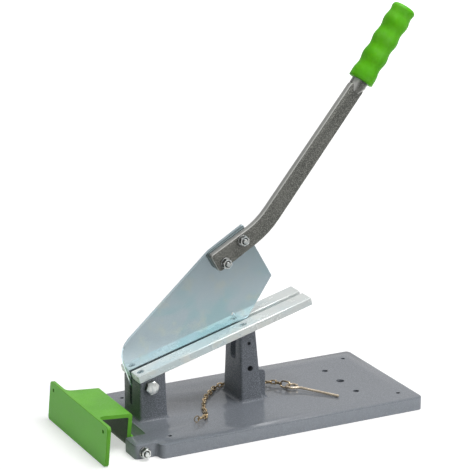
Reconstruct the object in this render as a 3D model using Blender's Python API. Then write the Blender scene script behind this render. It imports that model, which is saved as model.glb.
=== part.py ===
"""Lever slate cutter on a cast base.

The blade swings on a bolt in the slotted front post and passes between two
inclined rails. A folding bracket hangs on an axle at the left end of the base.
Metres, +Z up. The origin is the middle of the base plate's underside, +X runs
along the base towards the free end of the rails, and +Y points to the far side.
"""
import math

import bmesh
import bpy
from mathutils import Matrix, Vector

MM = 0.001
DEG = math.pi / 180

# Fits shared by the whole cutter
SEAT_GAP = 0.3 * MM
BOLT_CLEARANCE = 0.3 * MM
OVERRUN = 5 * MM

# Base plate
BASE_LENGTH = 422 * MM
BASE_WIDTH = 220 * MM
BASE_HEIGHT = 20 * MM
BASE_CORNER_RADIUS = 8 * MM
BASE_EDGE_RADIUS = 2.5 * MM
BASE_SKIN = 8 * MM
BASE_RIM = 9 * MM
RIB_THICKNESS = 6 * MM
POCKETS_ALONG = 7
POCKETS_ACROSS = 4
POCKET_CORNER_RADIUS = 5 * MM
CORNER_HOLE_INSET_X = 26 * MM
CORNER_HOLE_INSET_Y = 28.5 * MM
CORNER_HOLE_DIAMETER = 6.5 * MM
ROW_INSET = 77 * MM
ROW_HOLE_SPACING = 47 * MM
ROW_OUTER_DIAMETER = 9.4 * MM
ROW_MIDDLE_DIAMETER = 12.4 * MM
HOLE_BOSS_WALL = 6 * MM

# Lugs at the left end, which carry the bracket's axle
LUG_REACH = 33 * MM
LUG_WIDTH = 38 * MM
LUG_SIDE_INSET = 14 * MM
LUG_CORNER_RADIUS = 5 * MM
AXLE_INSET = 13 * MM
AXLE_HEIGHT = 9.5 * MM
AXLE_DIAMETER = 8 * MM

# Blade plane and pivot
BLADE_PLANE_Y = 13.5 * MM
BLADE_THICKNESS = 5 * MM
PIVOT_INSET = 17.2 * MM
PIVOT_Z = 71.3 * MM
PIVOT_DIAMETER = 12 * MM
LOCK_RADIUS = 163.7 * MM
LOCK_REST_ANGLE = 27.97 * DEG
CLOSING_TRAVEL = 15.2 * DEG
LOCK_HOLE_DIAMETER = 5.6 * MM

# Front post, slotted for the blade
FRONT_INSET = 10 * MM
FRONT_TOP_WIDTH = 39.5 * MM
FRONT_FOOT_WIDTH = 43.5 * MM
FRONT_NEAR_Y = -18 * MM
FRONT_FAR_Y = 38 * MM
FRONT_SLOT_WIDTH = 9 * MM
FRONT_SLOT_FLOOR_Z = 37 * MM

# Tall post, which stands a spacing to the right of the front post
POST_SPACING = 163 * MM
TALL_TOP_WIDTH = 24.7 * MM
TALL_FOOT_WIDTH = 33.5 * MM
TALL_TOP_NEAR_Y = -9 * MM
TALL_FOOT_NEAR_Y = -15 * MM
TALL_TOP_FAR_Y = 36.5 * MM
TALL_FOOT_FAR_Y = 45 * MM
TALL_SLOT_WIDTH = 15.5 * MM
TALL_SLOT_FLOOR_Z = 80 * MM
TALL_SLOT_RADIUS = 5 * MM
TALL_HOLE_INSET = 14.8 * MM
TALL_HOLE_Z = 69.6 * MM
TALL_HOLE_DIAMETER = 8.8 * MM
BUTTRESS_REACH = 43 * MM
BUTTRESS_TOP_Z = 63.5 * MM
BUTTRESS_NEAR_Y = -8 * MM
BUTTRESS_FAR_Y = 31 * MM
BUTTRESS_TOP_RADIUS = 7 * MM
POST_CORNER_RADIUS = 3.5 * MM
POST_FOOT_RADIUS = 6 * MM
POST_OVERHEIGHT = 30 * MM

# Rails
RAIL_FOOT_INSET = 0.8 * MM
RAIL_FOOT_Z = 77 * MM
RAIL_SLOPE = 15.5 * DEG
RAIL_LENGTH = 287 * MM
RAIL_WIDTH = 26 * MM
RAIL_THICKNESS = 11.4 * MM
RAIL_SLOT = 9 * MM
RAIL_EDGE = 0.8 * MM
RAIL_SCREW_DIAMETER = 5 * MM
RAIL_SCREW_HEAD_DIAMETER = 10.6 * MM
RAIL_SCREW_HEAD_HEIGHT = 3 * MM
FRONT_SCREW_LENGTH = 13.2 * MM
TALL_SCREW_LENGTH = 25 * MM
RAIL_SCREW_SINK = 0.3 * MM
FRONT_SCREW_ALONG = 10 * MM
TALL_SCREW_ALONG = 178.9 * MM
SCREW_OFFSET_NEAR = 17.5 * MM
SCREW_OFFSET_FAR = 16.5 * MM
SOCKET_WIDTH = 4 * MM
SOCKET_DEPTH = 2 * MM

# Blade outline, measured from the pivot at rest (blade raised)
BLADE_NOSE = (207.1 * MM, 126.6 * MM)
BLADE_TOP = (159.8 * MM, 209.7 * MM)
BLADE_SHOULDER = (105.8 * MM, 177.7 * MM)
BLADE_HEEL = (-35.7 * MM, 50.1 * MM)
BLADE_TANG = (28.8 * MM, 21.2 * MM)
BLADE_TOE_X = 161.4 * MM
BLADE_BOSS_RADIUS = 18 * MM
BLADE_HEEL_RADIUS = 33 * MM
BLADE_SHOULDER_RADIUS = 17 * MM
BLADE_TANG_RADIUS = 8 * MM
BLADE_TOE_RADIUS = 5 * MM
BLADE_NOSE_RADIUS = 2 * MM
BLADE_GROUND_WIDTH = 9 * MM
BLADE_EDGE_LAND = 1.6 * MM
BLADE_EDGE_BREAK = 0.4 * MM

# Handle arm, measured from the pivot at rest
ARM_ROOT = (110.3 * MM, 159.7 * MM)
ARM_BEND = (187.8 * MM, 204.3 * MM)
ARM_THICKNESS = 12 * MM
ARM_ROOT_WIDTH = 30 * MM
ARM_UPPER_WIDTH = 24.9 * MM
ARM_BEND_RADIUS = 120 * MM
ARM_ROOT_CORNER = 5 * MM
ARM_EDGE_RADIUS = 2.6 * MM
HANDLE_BOLT_LOW = (125.8 * MM, 160.8 * MM)
HANDLE_BOLT_HIGH = (153.1 * MM, 191 * MM)
HANDLE_BOLT_DIAMETER = 8 * MM

# Grip, measured from the pivot at rest
GRIP_START = (345.55 * MM, 402.4 * MM)
GRIP_ANGLE = 54.35 * DEG
GRIP_LENGTH = 124 * MM
GRIP_RADIUS = 18 * MM
GRIP_WAVE = 1.1 * MM
GRIP_WAVE_PITCH = 29 * MM
GRIP_FIRST_VALLEY = 25 * MM
GRIP_COLLAR_LENGTH = 5 * MM
GRIP_COLLAR_RADIUS = 19 * MM
GRIP_END_RADIUS = 6 * MM
GRIP_EDGE_BREAK = 0.6 * MM
NECK_DIAMETER = 25 * MM
NECK_LENGTH = 9 * MM
NECK_CONE_LENGTH = 13 * MM
NECK_CONE_DIAMETER = 11 * MM
SPIGOT_DIAMETER = 19 * MM
SPIGOT_LENGTH = 104 * MM
SPIGOT_CHAMFER = 1.5 * MM
GRIP_BORE_CLEARANCE = 0.3 * MM

# Hexagon fasteners
M12_ACROSS_FLATS = 18 * MM
M12_HEAD_HEIGHT = 7.5 * MM
M12_NUT_HEIGHT = 6 * MM
M12_THREAD_END = 2.4 * MM
SHIM_DIAMETER = 24 * MM
M8_ACROSS_FLATS = 13 * MM
M8_HEAD_HEIGHT = 5.3 * MM
M8_NUT_HEIGHT = 6.5 * MM
M8_WASHER_DIAMETER = 16 * MM
M8_WASHER_THICKNESS = 1.6 * MM
M8_THREAD_END = 2.5 * MM
THREAD_CHAMFER = 0.8 * MM
HEX_CHAMFER_SHARE = 0.14
HEX_FACE_SHARE = 0.94
PIVOT_HEAD_TURN = 15.5 * DEG
LOW_NUT_TURN = 12 * DEG
HIGH_NUT_TURN = -8 * DEG

# Folding bracket, measured from its axle before it is tilted to the floor
BRACKET_REACH = 61 * MM
BRACKET_PLATE_WIDTH = 204 * MM
BRACKET_PLATE_HEIGHT = 58 * MM
BRACKET_SHEET = 6 * MM
BRACKET_SIDE_CLEARANCE = 2 * MM
BRACKET_WEB_TOP = 43.2 * MM
BRACKET_FLANGE_OFFSET = 2.6 * MM
BRACKET_BEND_RADIUS = 3.5 * MM
BRACKET_INNER_RADIUS = 1.5 * MM
BRACKET_CORNER_RADIUS = 5 * MM
BRACKET_FILLET_RADIUS = 9 * MM
BRACKET_EYE_DIAMETER = 16 * MM
BRACKET_HOLE_SPACING = 176 * MM
BRACKET_HOLE_DROP = 10.5 * MM
BRACKET_HOLE_DIAMETER = 5.5 * MM
BRACKET_EDGE_BREAK = 0.6 * MM

# Locking pin, laid on the base plate and placed from the middle of its left edge
PIN_RING_PLACE = (264 * MM, 1 * MM)
PIN_ANGLE = -53.05 * DEG
PIN_DIAMETER = 4 * MM
PIN_RING_RADIUS = 8 * MM
PIN_SHAFT_LENGTH = 67 * MM
PIN_LIFT = 2.6 * MM
PIN_BEND_RADIUS = 6 * MM
PIN_RING_OPENING = 38 * DEG

# Chain, laid on the base plate and placed from the middle of its left edge
CHAIN_WIRE = 1.7 * MM
CHAIN_LINK_LENGTH = 12.3 * MM
CHAIN_LINK_WIDTH = 7.6 * MM
CHAIN_SLACK = 0.5 * MM
CHAIN_ROLL = 45 * DEG
CHAIN_LIFT_RUN = 50 * MM
END_LINK_LENGTH = 18 * MM
END_LINK_WIDTH = 11.4 * MM
END_LINK_ROLL = 62 * DEG
EYE_WIRE = 1.6 * MM
EYE_RADIUS = 4.5 * MM
EYE_OPENING = 28 * DEG
CHAIN_END_BEARING = -58 * DEG
EYE_SHANK_LENGTH = 9 * MM
CHAIN_ROUTE = (
    (81.2 * MM, -54.4 * MM),
    (96 * MM, -50 * MM),
    (104 * MM, -38 * MM),
    (109 * MM, -22 * MM),
    (117.3 * MM, -2.5 * MM),
    (131.9 * MM, 21.4 * MM),
    (147 * MM, 37 * MM),
    (159 * MM, 49 * MM),
    (175 * MM, 57.5 * MM),
    (195 * MM, 59.5 * MM),
    (212 * MM, 54.5 * MM),
    (223 * MM, 45 * MM),
    (234 * MM, 36.5 * MM),
)

# Mesh resolution
HEX_SIDES = 6
ROUND_SEGMENTS = 18
SMALL_SEGMENTS = 12
CORNER_SEGMENTS = 4
FILLET_SEGMENTS = 4
EDGE_SEGMENTS = 2
WAVE_SEGMENTS = 6
LINK_POINTS = 10
LINK_SIDES = 6
EYE_SEGMENTS = 12
PIN_RING_SEGMENTS = 16
ROUTE_STEPS = 12
SMOOTH_ANGLE = 35 * DEG

# Places that follow from the sizes above
BASE_TOP_Z = BASE_HEIGHT
POST_ROOT_Z = BASE_TOP_Z - SEAT_GAP
BASE_LEFT_X = -BASE_LENGTH / 2
ROW_X = BASE_LENGTH / 2 - ROW_INSET
LUG_LEFT_X = BASE_LEFT_X - LUG_REACH
LUG_OUTER_Y = BASE_WIDTH / 2 - LUG_SIDE_INSET
LUG_INNER_Y = LUG_OUTER_Y - LUG_WIDTH
AXLE_X = LUG_LEFT_X + AXLE_INSET
BRACKET_WEB_WIDTH = 2 * (LUG_INNER_Y - BRACKET_SIDE_CLEARANCE)
FRONT_LEFT_X = BASE_LEFT_X + FRONT_INSET
PIVOT_X = FRONT_LEFT_X + PIVOT_INSET
TALL_LEFT_X = FRONT_LEFT_X + POST_SPACING
TALL_HOLE_X = TALL_LEFT_X + TALL_HOLE_INSET
BUTTRESS_RIGHT_X = TALL_LEFT_X + BUTTRESS_REACH
BLADE_NEAR_Y = BLADE_PLANE_Y - BLADE_THICKNESS / 2
BLADE_FAR_Y = BLADE_PLANE_Y + BLADE_THICKNESS / 2
ARM_FAR_Y = BLADE_NEAR_Y - SEAT_GAP
ARM_NEAR_Y = ARM_FAR_Y - ARM_THICKNESS
ARM_MIDDLE_Y = (ARM_FAR_Y + ARM_NEAR_Y) / 2
RAIL_NEAR_SLOT_Y = BLADE_PLANE_Y - RAIL_SLOT / 2
RAIL_FAR_SLOT_Y = BLADE_PLANE_Y + RAIL_SLOT / 2
RAIL_DIRECTION = Vector((math.cos(RAIL_SLOPE), 0, math.sin(RAIL_SLOPE)))
RAIL_NORMAL = Vector((-math.sin(RAIL_SLOPE), 0, math.cos(RAIL_SLOPE)))
RAIL_FOOT_X = FRONT_LEFT_X + RAIL_FOOT_INSET
RAIL_FOOT = Vector((RAIL_FOOT_X, 0, RAIL_FOOT_Z))

X_AXIS = Vector((1, 0, 0))
Y_AXIS = Vector((0, 1, 0))
Z_AXIS = Vector((0, 0, 1))


def clear_scene():
    """Remove every object that the file holds."""
    for item in list(bpy.data.objects):
        bpy.data.objects.remove(item, do_unlink=True)


def make_material(name, colour, roughness, metallic):
    """Return a Principled BSDF material."""
    material = bpy.data.materials.new(name)
    material.use_nodes = True
    shader = material.node_tree.nodes["Principled BSDF"]
    shader.inputs["Base Color"].default_value = (*colour, 1)
    shader.inputs["Roughness"].default_value = roughness
    shader.inputs["Metallic"].default_value = metallic
    return material


def frame_matrix(origin, axis, side):
    """Return a matrix whose Z runs along axis and whose X leans to side."""
    z_dir = Vector(axis).normalized()
    x_dir = (Vector(side) - Vector(side).dot(z_dir) * z_dir).normalized()
    y_dir = z_dir.cross(x_dir)
    matrix = Matrix((x_dir, y_dir, z_dir)).transposed().to_4x4()
    matrix.translation = Vector(origin)
    return matrix


def side_matrix(y_start):
    """Return the frame of an outline drawn in X and Z and extruded to +Y."""
    return Matrix(((1, 0, 0, 0), (0, 0, 1, y_start), (0, 1, 0, 0), (0, 0, 0, 1)))


def new_object(name, mesh_builder, matrix=None):
    """Make an object from a bmesh whose faces are turned outwards."""
    bmesh.ops.recalc_face_normals(mesh_builder, faces=mesh_builder.faces[:])
    if matrix is not None:
        bmesh.ops.transform(mesh_builder, matrix=matrix, verts=mesh_builder.verts[:])
        bmesh.ops.recalc_face_normals(mesh_builder, faces=mesh_builder.faces[:])
    mesh = bpy.data.meshes.new(name)
    mesh_builder.to_mesh(mesh)
    mesh_builder.free()
    item = bpy.data.objects.new(name, mesh)
    bpy.context.collection.objects.link(item)
    return item


def loft(rings, closed=False):
    """Return a bmesh that joins rings of equal count, capped unless closed."""
    builder = bmesh.new()
    loops = [[builder.verts.new(point) for point in ring] for ring in rings]
    count = len(rings[0])
    pairs = list(zip(loops, loops[1:]))
    if closed:
        pairs.append((loops[-1], loops[0]))
    for lower, upper in pairs:
        for index in range(count):
            after = (index + 1) % count
            builder.faces.new((lower[index], lower[after], upper[after], upper[index]))
    if not closed:
        builder.faces.new(loops[0])
        builder.faces.new(loops[-1])
    return builder


def flat_ring(outline, height):
    """Lift a flat outline to a height."""
    return [Vector((point[0], point[1], height)) for point in outline]


def round_corners(corners, radii, segments=CORNER_SEGMENTS):
    """Return the outline through corners with an arc of its own radius at each."""
    outline = []
    count = len(corners)
    for index, corner in enumerate(corners):
        here = Vector(corner)
        before = (Vector(corners[index - 1]) - here).normalized()
        after = (Vector(corners[(index + 1) % count]) - here).normalized()
        radius = radii[index]
        if radius == 0:
            outline.append(here)
            continue
        half = before.angle(after) / 2
        reach = radius / math.tan(half)
        centre = here + (before + after).normalized() * (radius / math.sin(half))
        first = here + before * reach - centre
        last = here + after * reach - centre
        sweep = first.angle_signed(last)
        for step in range(segments + 1):
            turn = Matrix.Rotation(-sweep * step / segments, 2)
            outline.append(centre + turn @ first)
    return outline


def inset_outline(outline, distance):
    """Move a closed outline inwards by a distance, keeping its point count."""
    count = len(outline)
    area = sum(outline[i - 1][0] * outline[i][1] - outline[i][0] * outline[i - 1][1]
               for i in range(count))
    side = 1 if area > 0 else -1
    moved = []
    for index in range(count):
        here = Vector(outline[index])
        before = (here - Vector(outline[index - 1])).normalized()
        after = (Vector(outline[(index + 1) % count]) - here).normalized()
        first = Vector((-before.y, before.x)) * side
        second = Vector((-after.y, after.x)) * side
        middle = (first + second).normalized()
        moved.append(here + middle * (distance / middle.dot(first)))
    return moved


def rectangle(left, right, near, far, radius, segments=CORNER_SEGMENTS):
    """Return a rounded rectangle outline."""
    corners = [(left, near), (right, near), (right, far), (left, far)]
    return round_corners(corners, [radius] * len(corners), segments)


def slab(outline, bottom, top, bottom_radius=0, top_radius=0, segments=EDGE_SEGMENTS):
    """Extrude an outline and round its bottom and top edges."""
    rings = []
    steps = range(segments + 1)
    if bottom_radius:
        for step in steps:
            turn = math.pi / 2 * step / segments
            inset = bottom_radius * (1 - math.sin(turn))
            height = bottom + bottom_radius * (1 - math.cos(turn))
            rings.append(flat_ring(inset_outline(outline, inset), height))
    else:
        rings.append(flat_ring(outline, bottom))
    if top_radius:
        for step in steps:
            turn = math.pi / 2 * step / segments
            inset = top_radius * (1 - math.cos(turn))
            height = top - top_radius * (1 - math.sin(turn))
            rings.append(flat_ring(inset_outline(outline, inset), height))
    else:
        rings.append(flat_ring(outline, top))
    return loft(rings)


def turned(profile, segments=ROUND_SEGMENTS, closed=False):
    """Revolve (radius, height) points about Z."""
    rings = []
    for radius, height in profile:
        ring = []
        for index in range(segments):
            turn = 2 * math.pi * index / segments
            ring.append(Vector((radius * math.cos(turn), radius * math.sin(turn), height)))
        rings.append(ring)
    return loft(rings, closed)


def rod(name, start, axis, radius, length, segments=ROUND_SEGMENTS, side=None):
    """Make a plain cylinder from start along axis."""
    side = side or (X_AXIS if abs(Vector(axis).normalized().x) < math.cos(math.pi / 4) else Z_AXIS)
    builder = turned([(radius, 0), (radius, length)], segments)
    return new_object(name, builder, frame_matrix(start, axis, side))


def hexagon(across_flats, turn=0):
    """Return a hexagon outline with a flat facing the turn direction."""
    half_side = math.pi / HEX_SIDES
    reach = across_flats / 2 / math.cos(half_side)
    turns = [half_side * (2 * k + 1) + turn for k in range(HEX_SIDES)]
    return [(reach * math.cos(angle), reach * math.sin(angle)) for angle in turns]


def hexagon_ring(across_flats, height, turn=0):
    """Return a hexagon ring with as many points as a round one."""
    per_side = ROUND_SEGMENTS // HEX_SIDES
    corners = [Vector(point) for point in hexagon(across_flats, turn)]
    outline = []
    for index, corner in enumerate(corners):
        following = corners[(index + 1) % HEX_SIDES]
        for step in range(per_side):
            outline.append(corner.lerp(following, step / per_side))
    return flat_ring(outline, height)


def round_ring(radius, height, turn=0):
    """Return a round ring whose first point is in line with a hexagon's corner."""
    first = math.pi / HEX_SIDES + turn
    return [Vector((radius * math.cos(first + 2 * math.pi * k / ROUND_SEGMENTS),
                    radius * math.sin(first + 2 * math.pi * k / ROUND_SEGMENTS), height))
            for k in range(ROUND_SEGMENTS)]


def add_boolean(item, other, operation):
    """Add an exact Boolean whose tool object is kept as a hidden guide."""
    modifier = item.modifiers.new(other.name, "BOOLEAN")
    modifier.operation = operation
    modifier.solver = "EXACT"
    modifier.object = other
    other.hide_render = True
    other.display_type = "WIRE"
    other.hide_set(True)


def cut(item, other):
    """Cut other out of item."""
    add_boolean(item, other, "DIFFERENCE")


def unite(item, other):
    """Unite other with item."""
    add_boolean(item, other, "UNION")


def join_bodies(name, builders):
    """Join several closed bmeshes into one object of separate bodies."""
    whole = bmesh.new()
    for builder in builders:
        mesh = bpy.data.meshes.new(name + "_body")
        builder.to_mesh(mesh)
        builder.free()
        whole.from_mesh(mesh)
        bpy.data.meshes.remove(mesh)
    return new_object(name, whole)


def placed(builder, matrix):
    """Move a bmesh by a matrix and turn its faces outwards."""
    bmesh.ops.transform(builder, matrix=matrix, verts=builder.verts[:])
    bmesh.ops.recalc_face_normals(builder, faces=builder.faces[:])
    return builder


def finish(item, material, parent=None, smooth=True):
    """Give an object its material, shading and parent."""
    item.data.materials.append(material)
    if smooth:
        item.data.shade_smooth()
        item.data.set_sharp_from_angle(angle=SMOOTH_ANGLE)
    if parent is not None:
        item.parent = parent
    return item


def axis_empty(name, place, tilt=0):
    """Make an empty on a joint's axis, turned about Y by tilt."""
    empty = bpy.data.objects.new(name, None)
    empty.location = place
    empty.rotation_euler = (0, tilt, 0)
    bpy.context.collection.objects.link(empty)
    return empty


def post_loft(top, foot, top_z, corner, foot_radius):
    """Return a drafted post that flares into the base plate at its foot.

    top and foot hold left, right, near and far. The foot flare is a quarter
    circle, and the post goes on down inside the plate.
    """
    rings = [flat_ring(rectangle(*top, corner), top_z)]

    def section(height):
        share = (top_z - height) / (top_z - BASE_TOP_Z)
        return [a + (b - a) * share for a, b in zip(top, foot)]

    for step in range(FILLET_SEGMENTS + 1):
        turn = math.pi / 2 * step / FILLET_SEGMENTS
        height = POST_ROOT_Z + foot_radius * (1 - math.sin(turn))
        spread = foot_radius * (1 - math.cos(turn))
        left, right, near, far = section(height)
        rings.append(flat_ring(rectangle(left - spread, right + spread, near - spread,
                                         far + spread, corner + spread), height))
    rings.append([Vector((point.x, point.y, BASE_TOP_Z - BASE_SKIN / 2)) for point in rings[-1]])
    return loft(rings)


def base_outline():
    """Return the plate's outline with the two lugs at its left end."""
    right = BASE_LENGTH / 2
    side = BASE_WIDTH / 2
    corners = [
        (right, -side), (right, side), (BASE_LEFT_X, side),
        (BASE_LEFT_X, LUG_OUTER_Y), (LUG_LEFT_X, LUG_OUTER_Y),
        (LUG_LEFT_X, LUG_INNER_Y), (BASE_LEFT_X, LUG_INNER_Y),
        (BASE_LEFT_X, -LUG_INNER_Y), (LUG_LEFT_X, -LUG_INNER_Y),
        (LUG_LEFT_X, -LUG_OUTER_Y), (BASE_LEFT_X, -LUG_OUTER_Y),
        (BASE_LEFT_X, -side),
    ]
    big, small = BASE_CORNER_RADIUS, LUG_CORNER_RADIUS
    radii = [big, big, big, small, small, small, small, small, small, small, small, big]
    return round_corners(corners, radii)


def underside_pockets():
    """Return the cored pockets between the ribs of the plate's underside."""
    inner_length = BASE_LENGTH - 2 * BASE_RIM
    inner_width = BASE_WIDTH - 2 * BASE_RIM
    step_x = (inner_length + RIB_THICKNESS) / POCKETS_ALONG
    step_y = (inner_width + RIB_THICKNESS) / POCKETS_ACROSS
    bodies = []
    for i in range(POCKETS_ALONG):
        left = -inner_length / 2 + i * step_x
        for j in range(POCKETS_ACROSS):
            near = -inner_width / 2 + j * step_y
            outline = rectangle(left, left + step_x - RIB_THICKNESS, near,
                                near + step_y - RIB_THICKNESS, POCKET_CORNER_RADIUS,
                                EDGE_SEGMENTS)
            bodies.append(slab(outline, -OVERRUN, BASE_HEIGHT - BASE_SKIN))
    return join_bodies("guide_pockets", bodies)


def plate_holes():
    """Return centre and diameter of each hole that goes through the plate."""
    half_x = BASE_LENGTH / 2 - CORNER_HOLE_INSET_X
    half_y = BASE_WIDTH / 2 - CORNER_HOLE_INSET_Y
    holes = [(sx * half_x, sy * half_y, CORNER_HOLE_DIAMETER)
             for sx in (-1, 1) for sy in (-1, 1)]
    holes += [(ROW_X, side * ROW_HOLE_SPACING, ROW_OUTER_DIAMETER) for side in (-1, 1)]
    holes.append((ROW_X, 0, ROW_MIDDLE_DIAMETER))
    return holes


def from_left_edge(place):
    """Return a flat place that is given from the middle of the plate's left edge."""
    return Vector((BASE_LEFT_X + place[0], place[1]))


def rail_screw_places():
    """Return each rail screw's place on the rails' underside plane, and its length."""
    places = []
    for along, length in ((FRONT_SCREW_ALONG, FRONT_SCREW_LENGTH),
                          (TALL_SCREW_ALONG, TALL_SCREW_LENGTH)):
        for across in (BLADE_PLANE_Y - SCREW_OFFSET_NEAR, BLADE_PLANE_Y + SCREW_OFFSET_FAR):
            places.append((RAIL_FOOT + RAIL_DIRECTION * along + Y_AXIS * across, length))
    return places


def slot_cutter(name, width, floor_z, radius, left, right, top):
    """Return a slot along X with a rounded floor, as a cutter."""
    near = BLADE_PLANE_Y - width / 2
    far = BLADE_PLANE_Y + width / 2
    outline = round_corners([(near, floor_z), (far, floor_z), (far, top), (near, top)],
                            [radius, radius, 0, 0])
    builder = slab(outline, left, right)
    matrix = Matrix(((0, 0, 1, 0), (1, 0, 0, 0), (0, 1, 0, 0), (0, 0, 0, 1)))
    return new_object(name, builder, matrix)


def build_base(material):
    """Build the casting: plate, lugs, two posts, ribs, bosses and holes."""
    base = new_object("base_casting", slab(base_outline(), 0, BASE_HEIGHT,
                                           0, BASE_EDGE_RADIUS))
    rail_top = RAIL_FOOT_Z + POST_OVERHEIGHT
    front_right = FRONT_LEFT_X + FRONT_TOP_WIDTH
    front = post_loft((FRONT_LEFT_X, front_right, FRONT_NEAR_Y, FRONT_FAR_Y),
                      (FRONT_LEFT_X, FRONT_LEFT_X + FRONT_FOOT_WIDTH, FRONT_NEAR_Y,
                       FRONT_FAR_Y), rail_top, POST_CORNER_RADIUS, POST_FOOT_RADIUS)
    unite(base, new_object("guide_front_post", front))

    tall_right = TALL_LEFT_X + TALL_TOP_WIDTH
    tall_top = RAIL_FOOT_Z + math.tan(RAIL_SLOPE) * (tall_right - RAIL_FOOT_X) + OVERRUN
    tall = post_loft((TALL_LEFT_X, tall_right, TALL_TOP_NEAR_Y, TALL_TOP_FAR_Y),
                     (TALL_LEFT_X, TALL_LEFT_X + TALL_FOOT_WIDTH, TALL_FOOT_NEAR_Y,
                      TALL_FOOT_FAR_Y), tall_top, POST_CORNER_RADIUS, POST_FOOT_RADIUS)
    unite(base, new_object("guide_tall_post", tall))
    unite(base, build_buttress())

    slope_cut = slab(rectangle(-RAIL_THICKNESS, RAIL_LENGTH, -BASE_WIDTH, BASE_WIDTH, 0, 1),
                     -SEAT_GAP, BASE_WIDTH)
    cut(base, new_object("guide_rail_seat", slope_cut,
                         frame_matrix(RAIL_FOOT, RAIL_NORMAL, RAIL_DIRECTION)))

    cut(base, slot_cutter("guide_front_slot", FRONT_SLOT_WIDTH, FRONT_SLOT_FLOOR_Z,
                          FRONT_SLOT_WIDTH / 2 - SEAT_GAP, FRONT_LEFT_X - POST_FOOT_RADIUS - OVERRUN,
                          FRONT_LEFT_X + FRONT_FOOT_WIDTH + OVERRUN, rail_top + OVERRUN))
    cut(base, slot_cutter("guide_tall_slot", TALL_SLOT_WIDTH, TALL_SLOT_FLOOR_Z,
                          TALL_SLOT_RADIUS, TALL_LEFT_X - OVERRUN,
                          TALL_LEFT_X + TALL_FOOT_WIDTH + OVERRUN, tall_top + OVERRUN))
    cut(base, underside_pockets())
    unite(base, underside_bosses())
    drill_base(base)
    return finish(base, material)


def underside_bosses():
    """Return the round bosses that stiffen the plate around its holes."""
    top = BASE_HEIGHT - BASE_SKIN / 2
    bodies = []
    for x, y, diameter in plate_holes():
        radius = diameter / 2 + HOLE_BOSS_WALL
        bodies.append(placed(turned([(radius, 0), (radius, top)], SMALL_SEGMENTS),
                             Matrix.Translation((x, y, 0))))
    return join_bodies("guide_bosses", bodies)


def build_buttress():
    """Return the rounded buttress on the right side of the tall post."""
    left = TALL_LEFT_X + TALL_TOP_WIDTH / 2
    rings = []
    for step in range(CORNER_SEGMENTS + 1):
        turn = math.pi / 2 * (1 - step / CORNER_SEGMENTS)
        cutback = BUTTRESS_TOP_RADIUS * (1 - math.cos(turn))
        height = BUTTRESS_TOP_Z - BUTTRESS_TOP_RADIUS * (1 - math.sin(turn))
        ring = rectangle(left, BUTTRESS_RIGHT_X - cutback, BUTTRESS_NEAR_Y, BUTTRESS_FAR_Y,
                         POST_CORNER_RADIUS)
        rings.append(flat_ring(ring, height))
    for step in range(FILLET_SEGMENTS + 1):
        turn = math.pi / 2 * step / FILLET_SEGMENTS
        height = POST_ROOT_Z + POST_FOOT_RADIUS * (1 - math.sin(turn))
        spread = POST_FOOT_RADIUS * (1 - math.cos(turn))
        ring = rectangle(left, BUTTRESS_RIGHT_X + spread, BUTTRESS_NEAR_Y - spread,
                         BUTTRESS_FAR_Y + spread, POST_CORNER_RADIUS)
        rings.append(flat_ring(ring, height))
    rings.append([Vector((p.x, p.y, BASE_TOP_Z - BASE_SKIN / 2)) for p in rings[-1]])
    return new_object("guide_buttress", loft(rings))


def drill_base(base):
    """Cut every hole of the casting."""
    bodies = [placed(turned([(diameter / 2, -OVERRUN), (diameter / 2, BASE_HEIGHT + OVERRUN)],
                            SMALL_SEGMENTS), Matrix.Translation((x, y, 0)))
              for x, y, diameter in plate_holes()]
    cut(base, join_bodies("guide_plate_holes", bodies))

    pivot = rod("guide_pivot_hole", (PIVOT_X, FRONT_NEAR_Y - OVERRUN, PIVOT_Z), Y_AXIS,
                PIVOT_DIAMETER / 2 + BOLT_CLEARANCE, FRONT_FAR_Y - FRONT_NEAR_Y + 2 * OVERRUN)
    cut(base, pivot)

    lock_angle = LOCK_REST_ANGLE - CLOSING_TRAVEL
    lock_x = PIVOT_X + LOCK_RADIUS * math.cos(lock_angle)
    lock_z = PIVOT_Z + LOCK_RADIUS * math.sin(lock_angle)
    depth = TALL_FOOT_FAR_Y - TALL_FOOT_NEAR_Y + 2 * OVERRUN
    start_y = TALL_FOOT_NEAR_Y - OVERRUN
    cut(base, rod("guide_lock_hole", (lock_x, start_y, lock_z), Y_AXIS,
                  LOCK_HOLE_DIAMETER / 2, depth, SMALL_SEGMENTS))
    cut(base, rod("guide_lower_hole", (TALL_HOLE_X, start_y, TALL_HOLE_Z), Y_AXIS,
                  TALL_HOLE_DIAMETER / 2, depth, SMALL_SEGMENTS))

    axle = rod("guide_axle_hole", (AXLE_X, -LUG_OUTER_Y - OVERRUN, AXLE_HEIGHT), Y_AXIS,
               AXLE_DIAMETER / 2 + BOLT_CLEARANCE, 2 * (LUG_OUTER_Y + OVERRUN))
    cut(base, axle)

    radius = RAIL_SCREW_DIAMETER / 2 + BOLT_CLEARANCE
    bodies = [placed(turned([(radius, RAIL_THICKNESS - length - 2 * SEAT_GAP),
                             (radius, OVERRUN)], SMALL_SEGMENTS),
                     frame_matrix(place, RAIL_NORMAL, RAIL_DIRECTION))
              for place, length in rail_screw_places()]
    cut(base, join_bodies("guide_screw_holes", bodies))

    anchor = from_left_edge(CHAIN_ROUTE[0])
    foot = (anchor.x, anchor.y, BASE_TOP_Z - EYE_SHANK_LENGTH - OVERRUN)
    cut(base, rod("guide_anchor_hole", foot, Z_AXIS, EYE_WIRE / 2 + BOLT_CLEARANCE,
                  EYE_SHANK_LENGTH + 2 * OVERRUN, SMALL_SEGMENTS))


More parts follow.
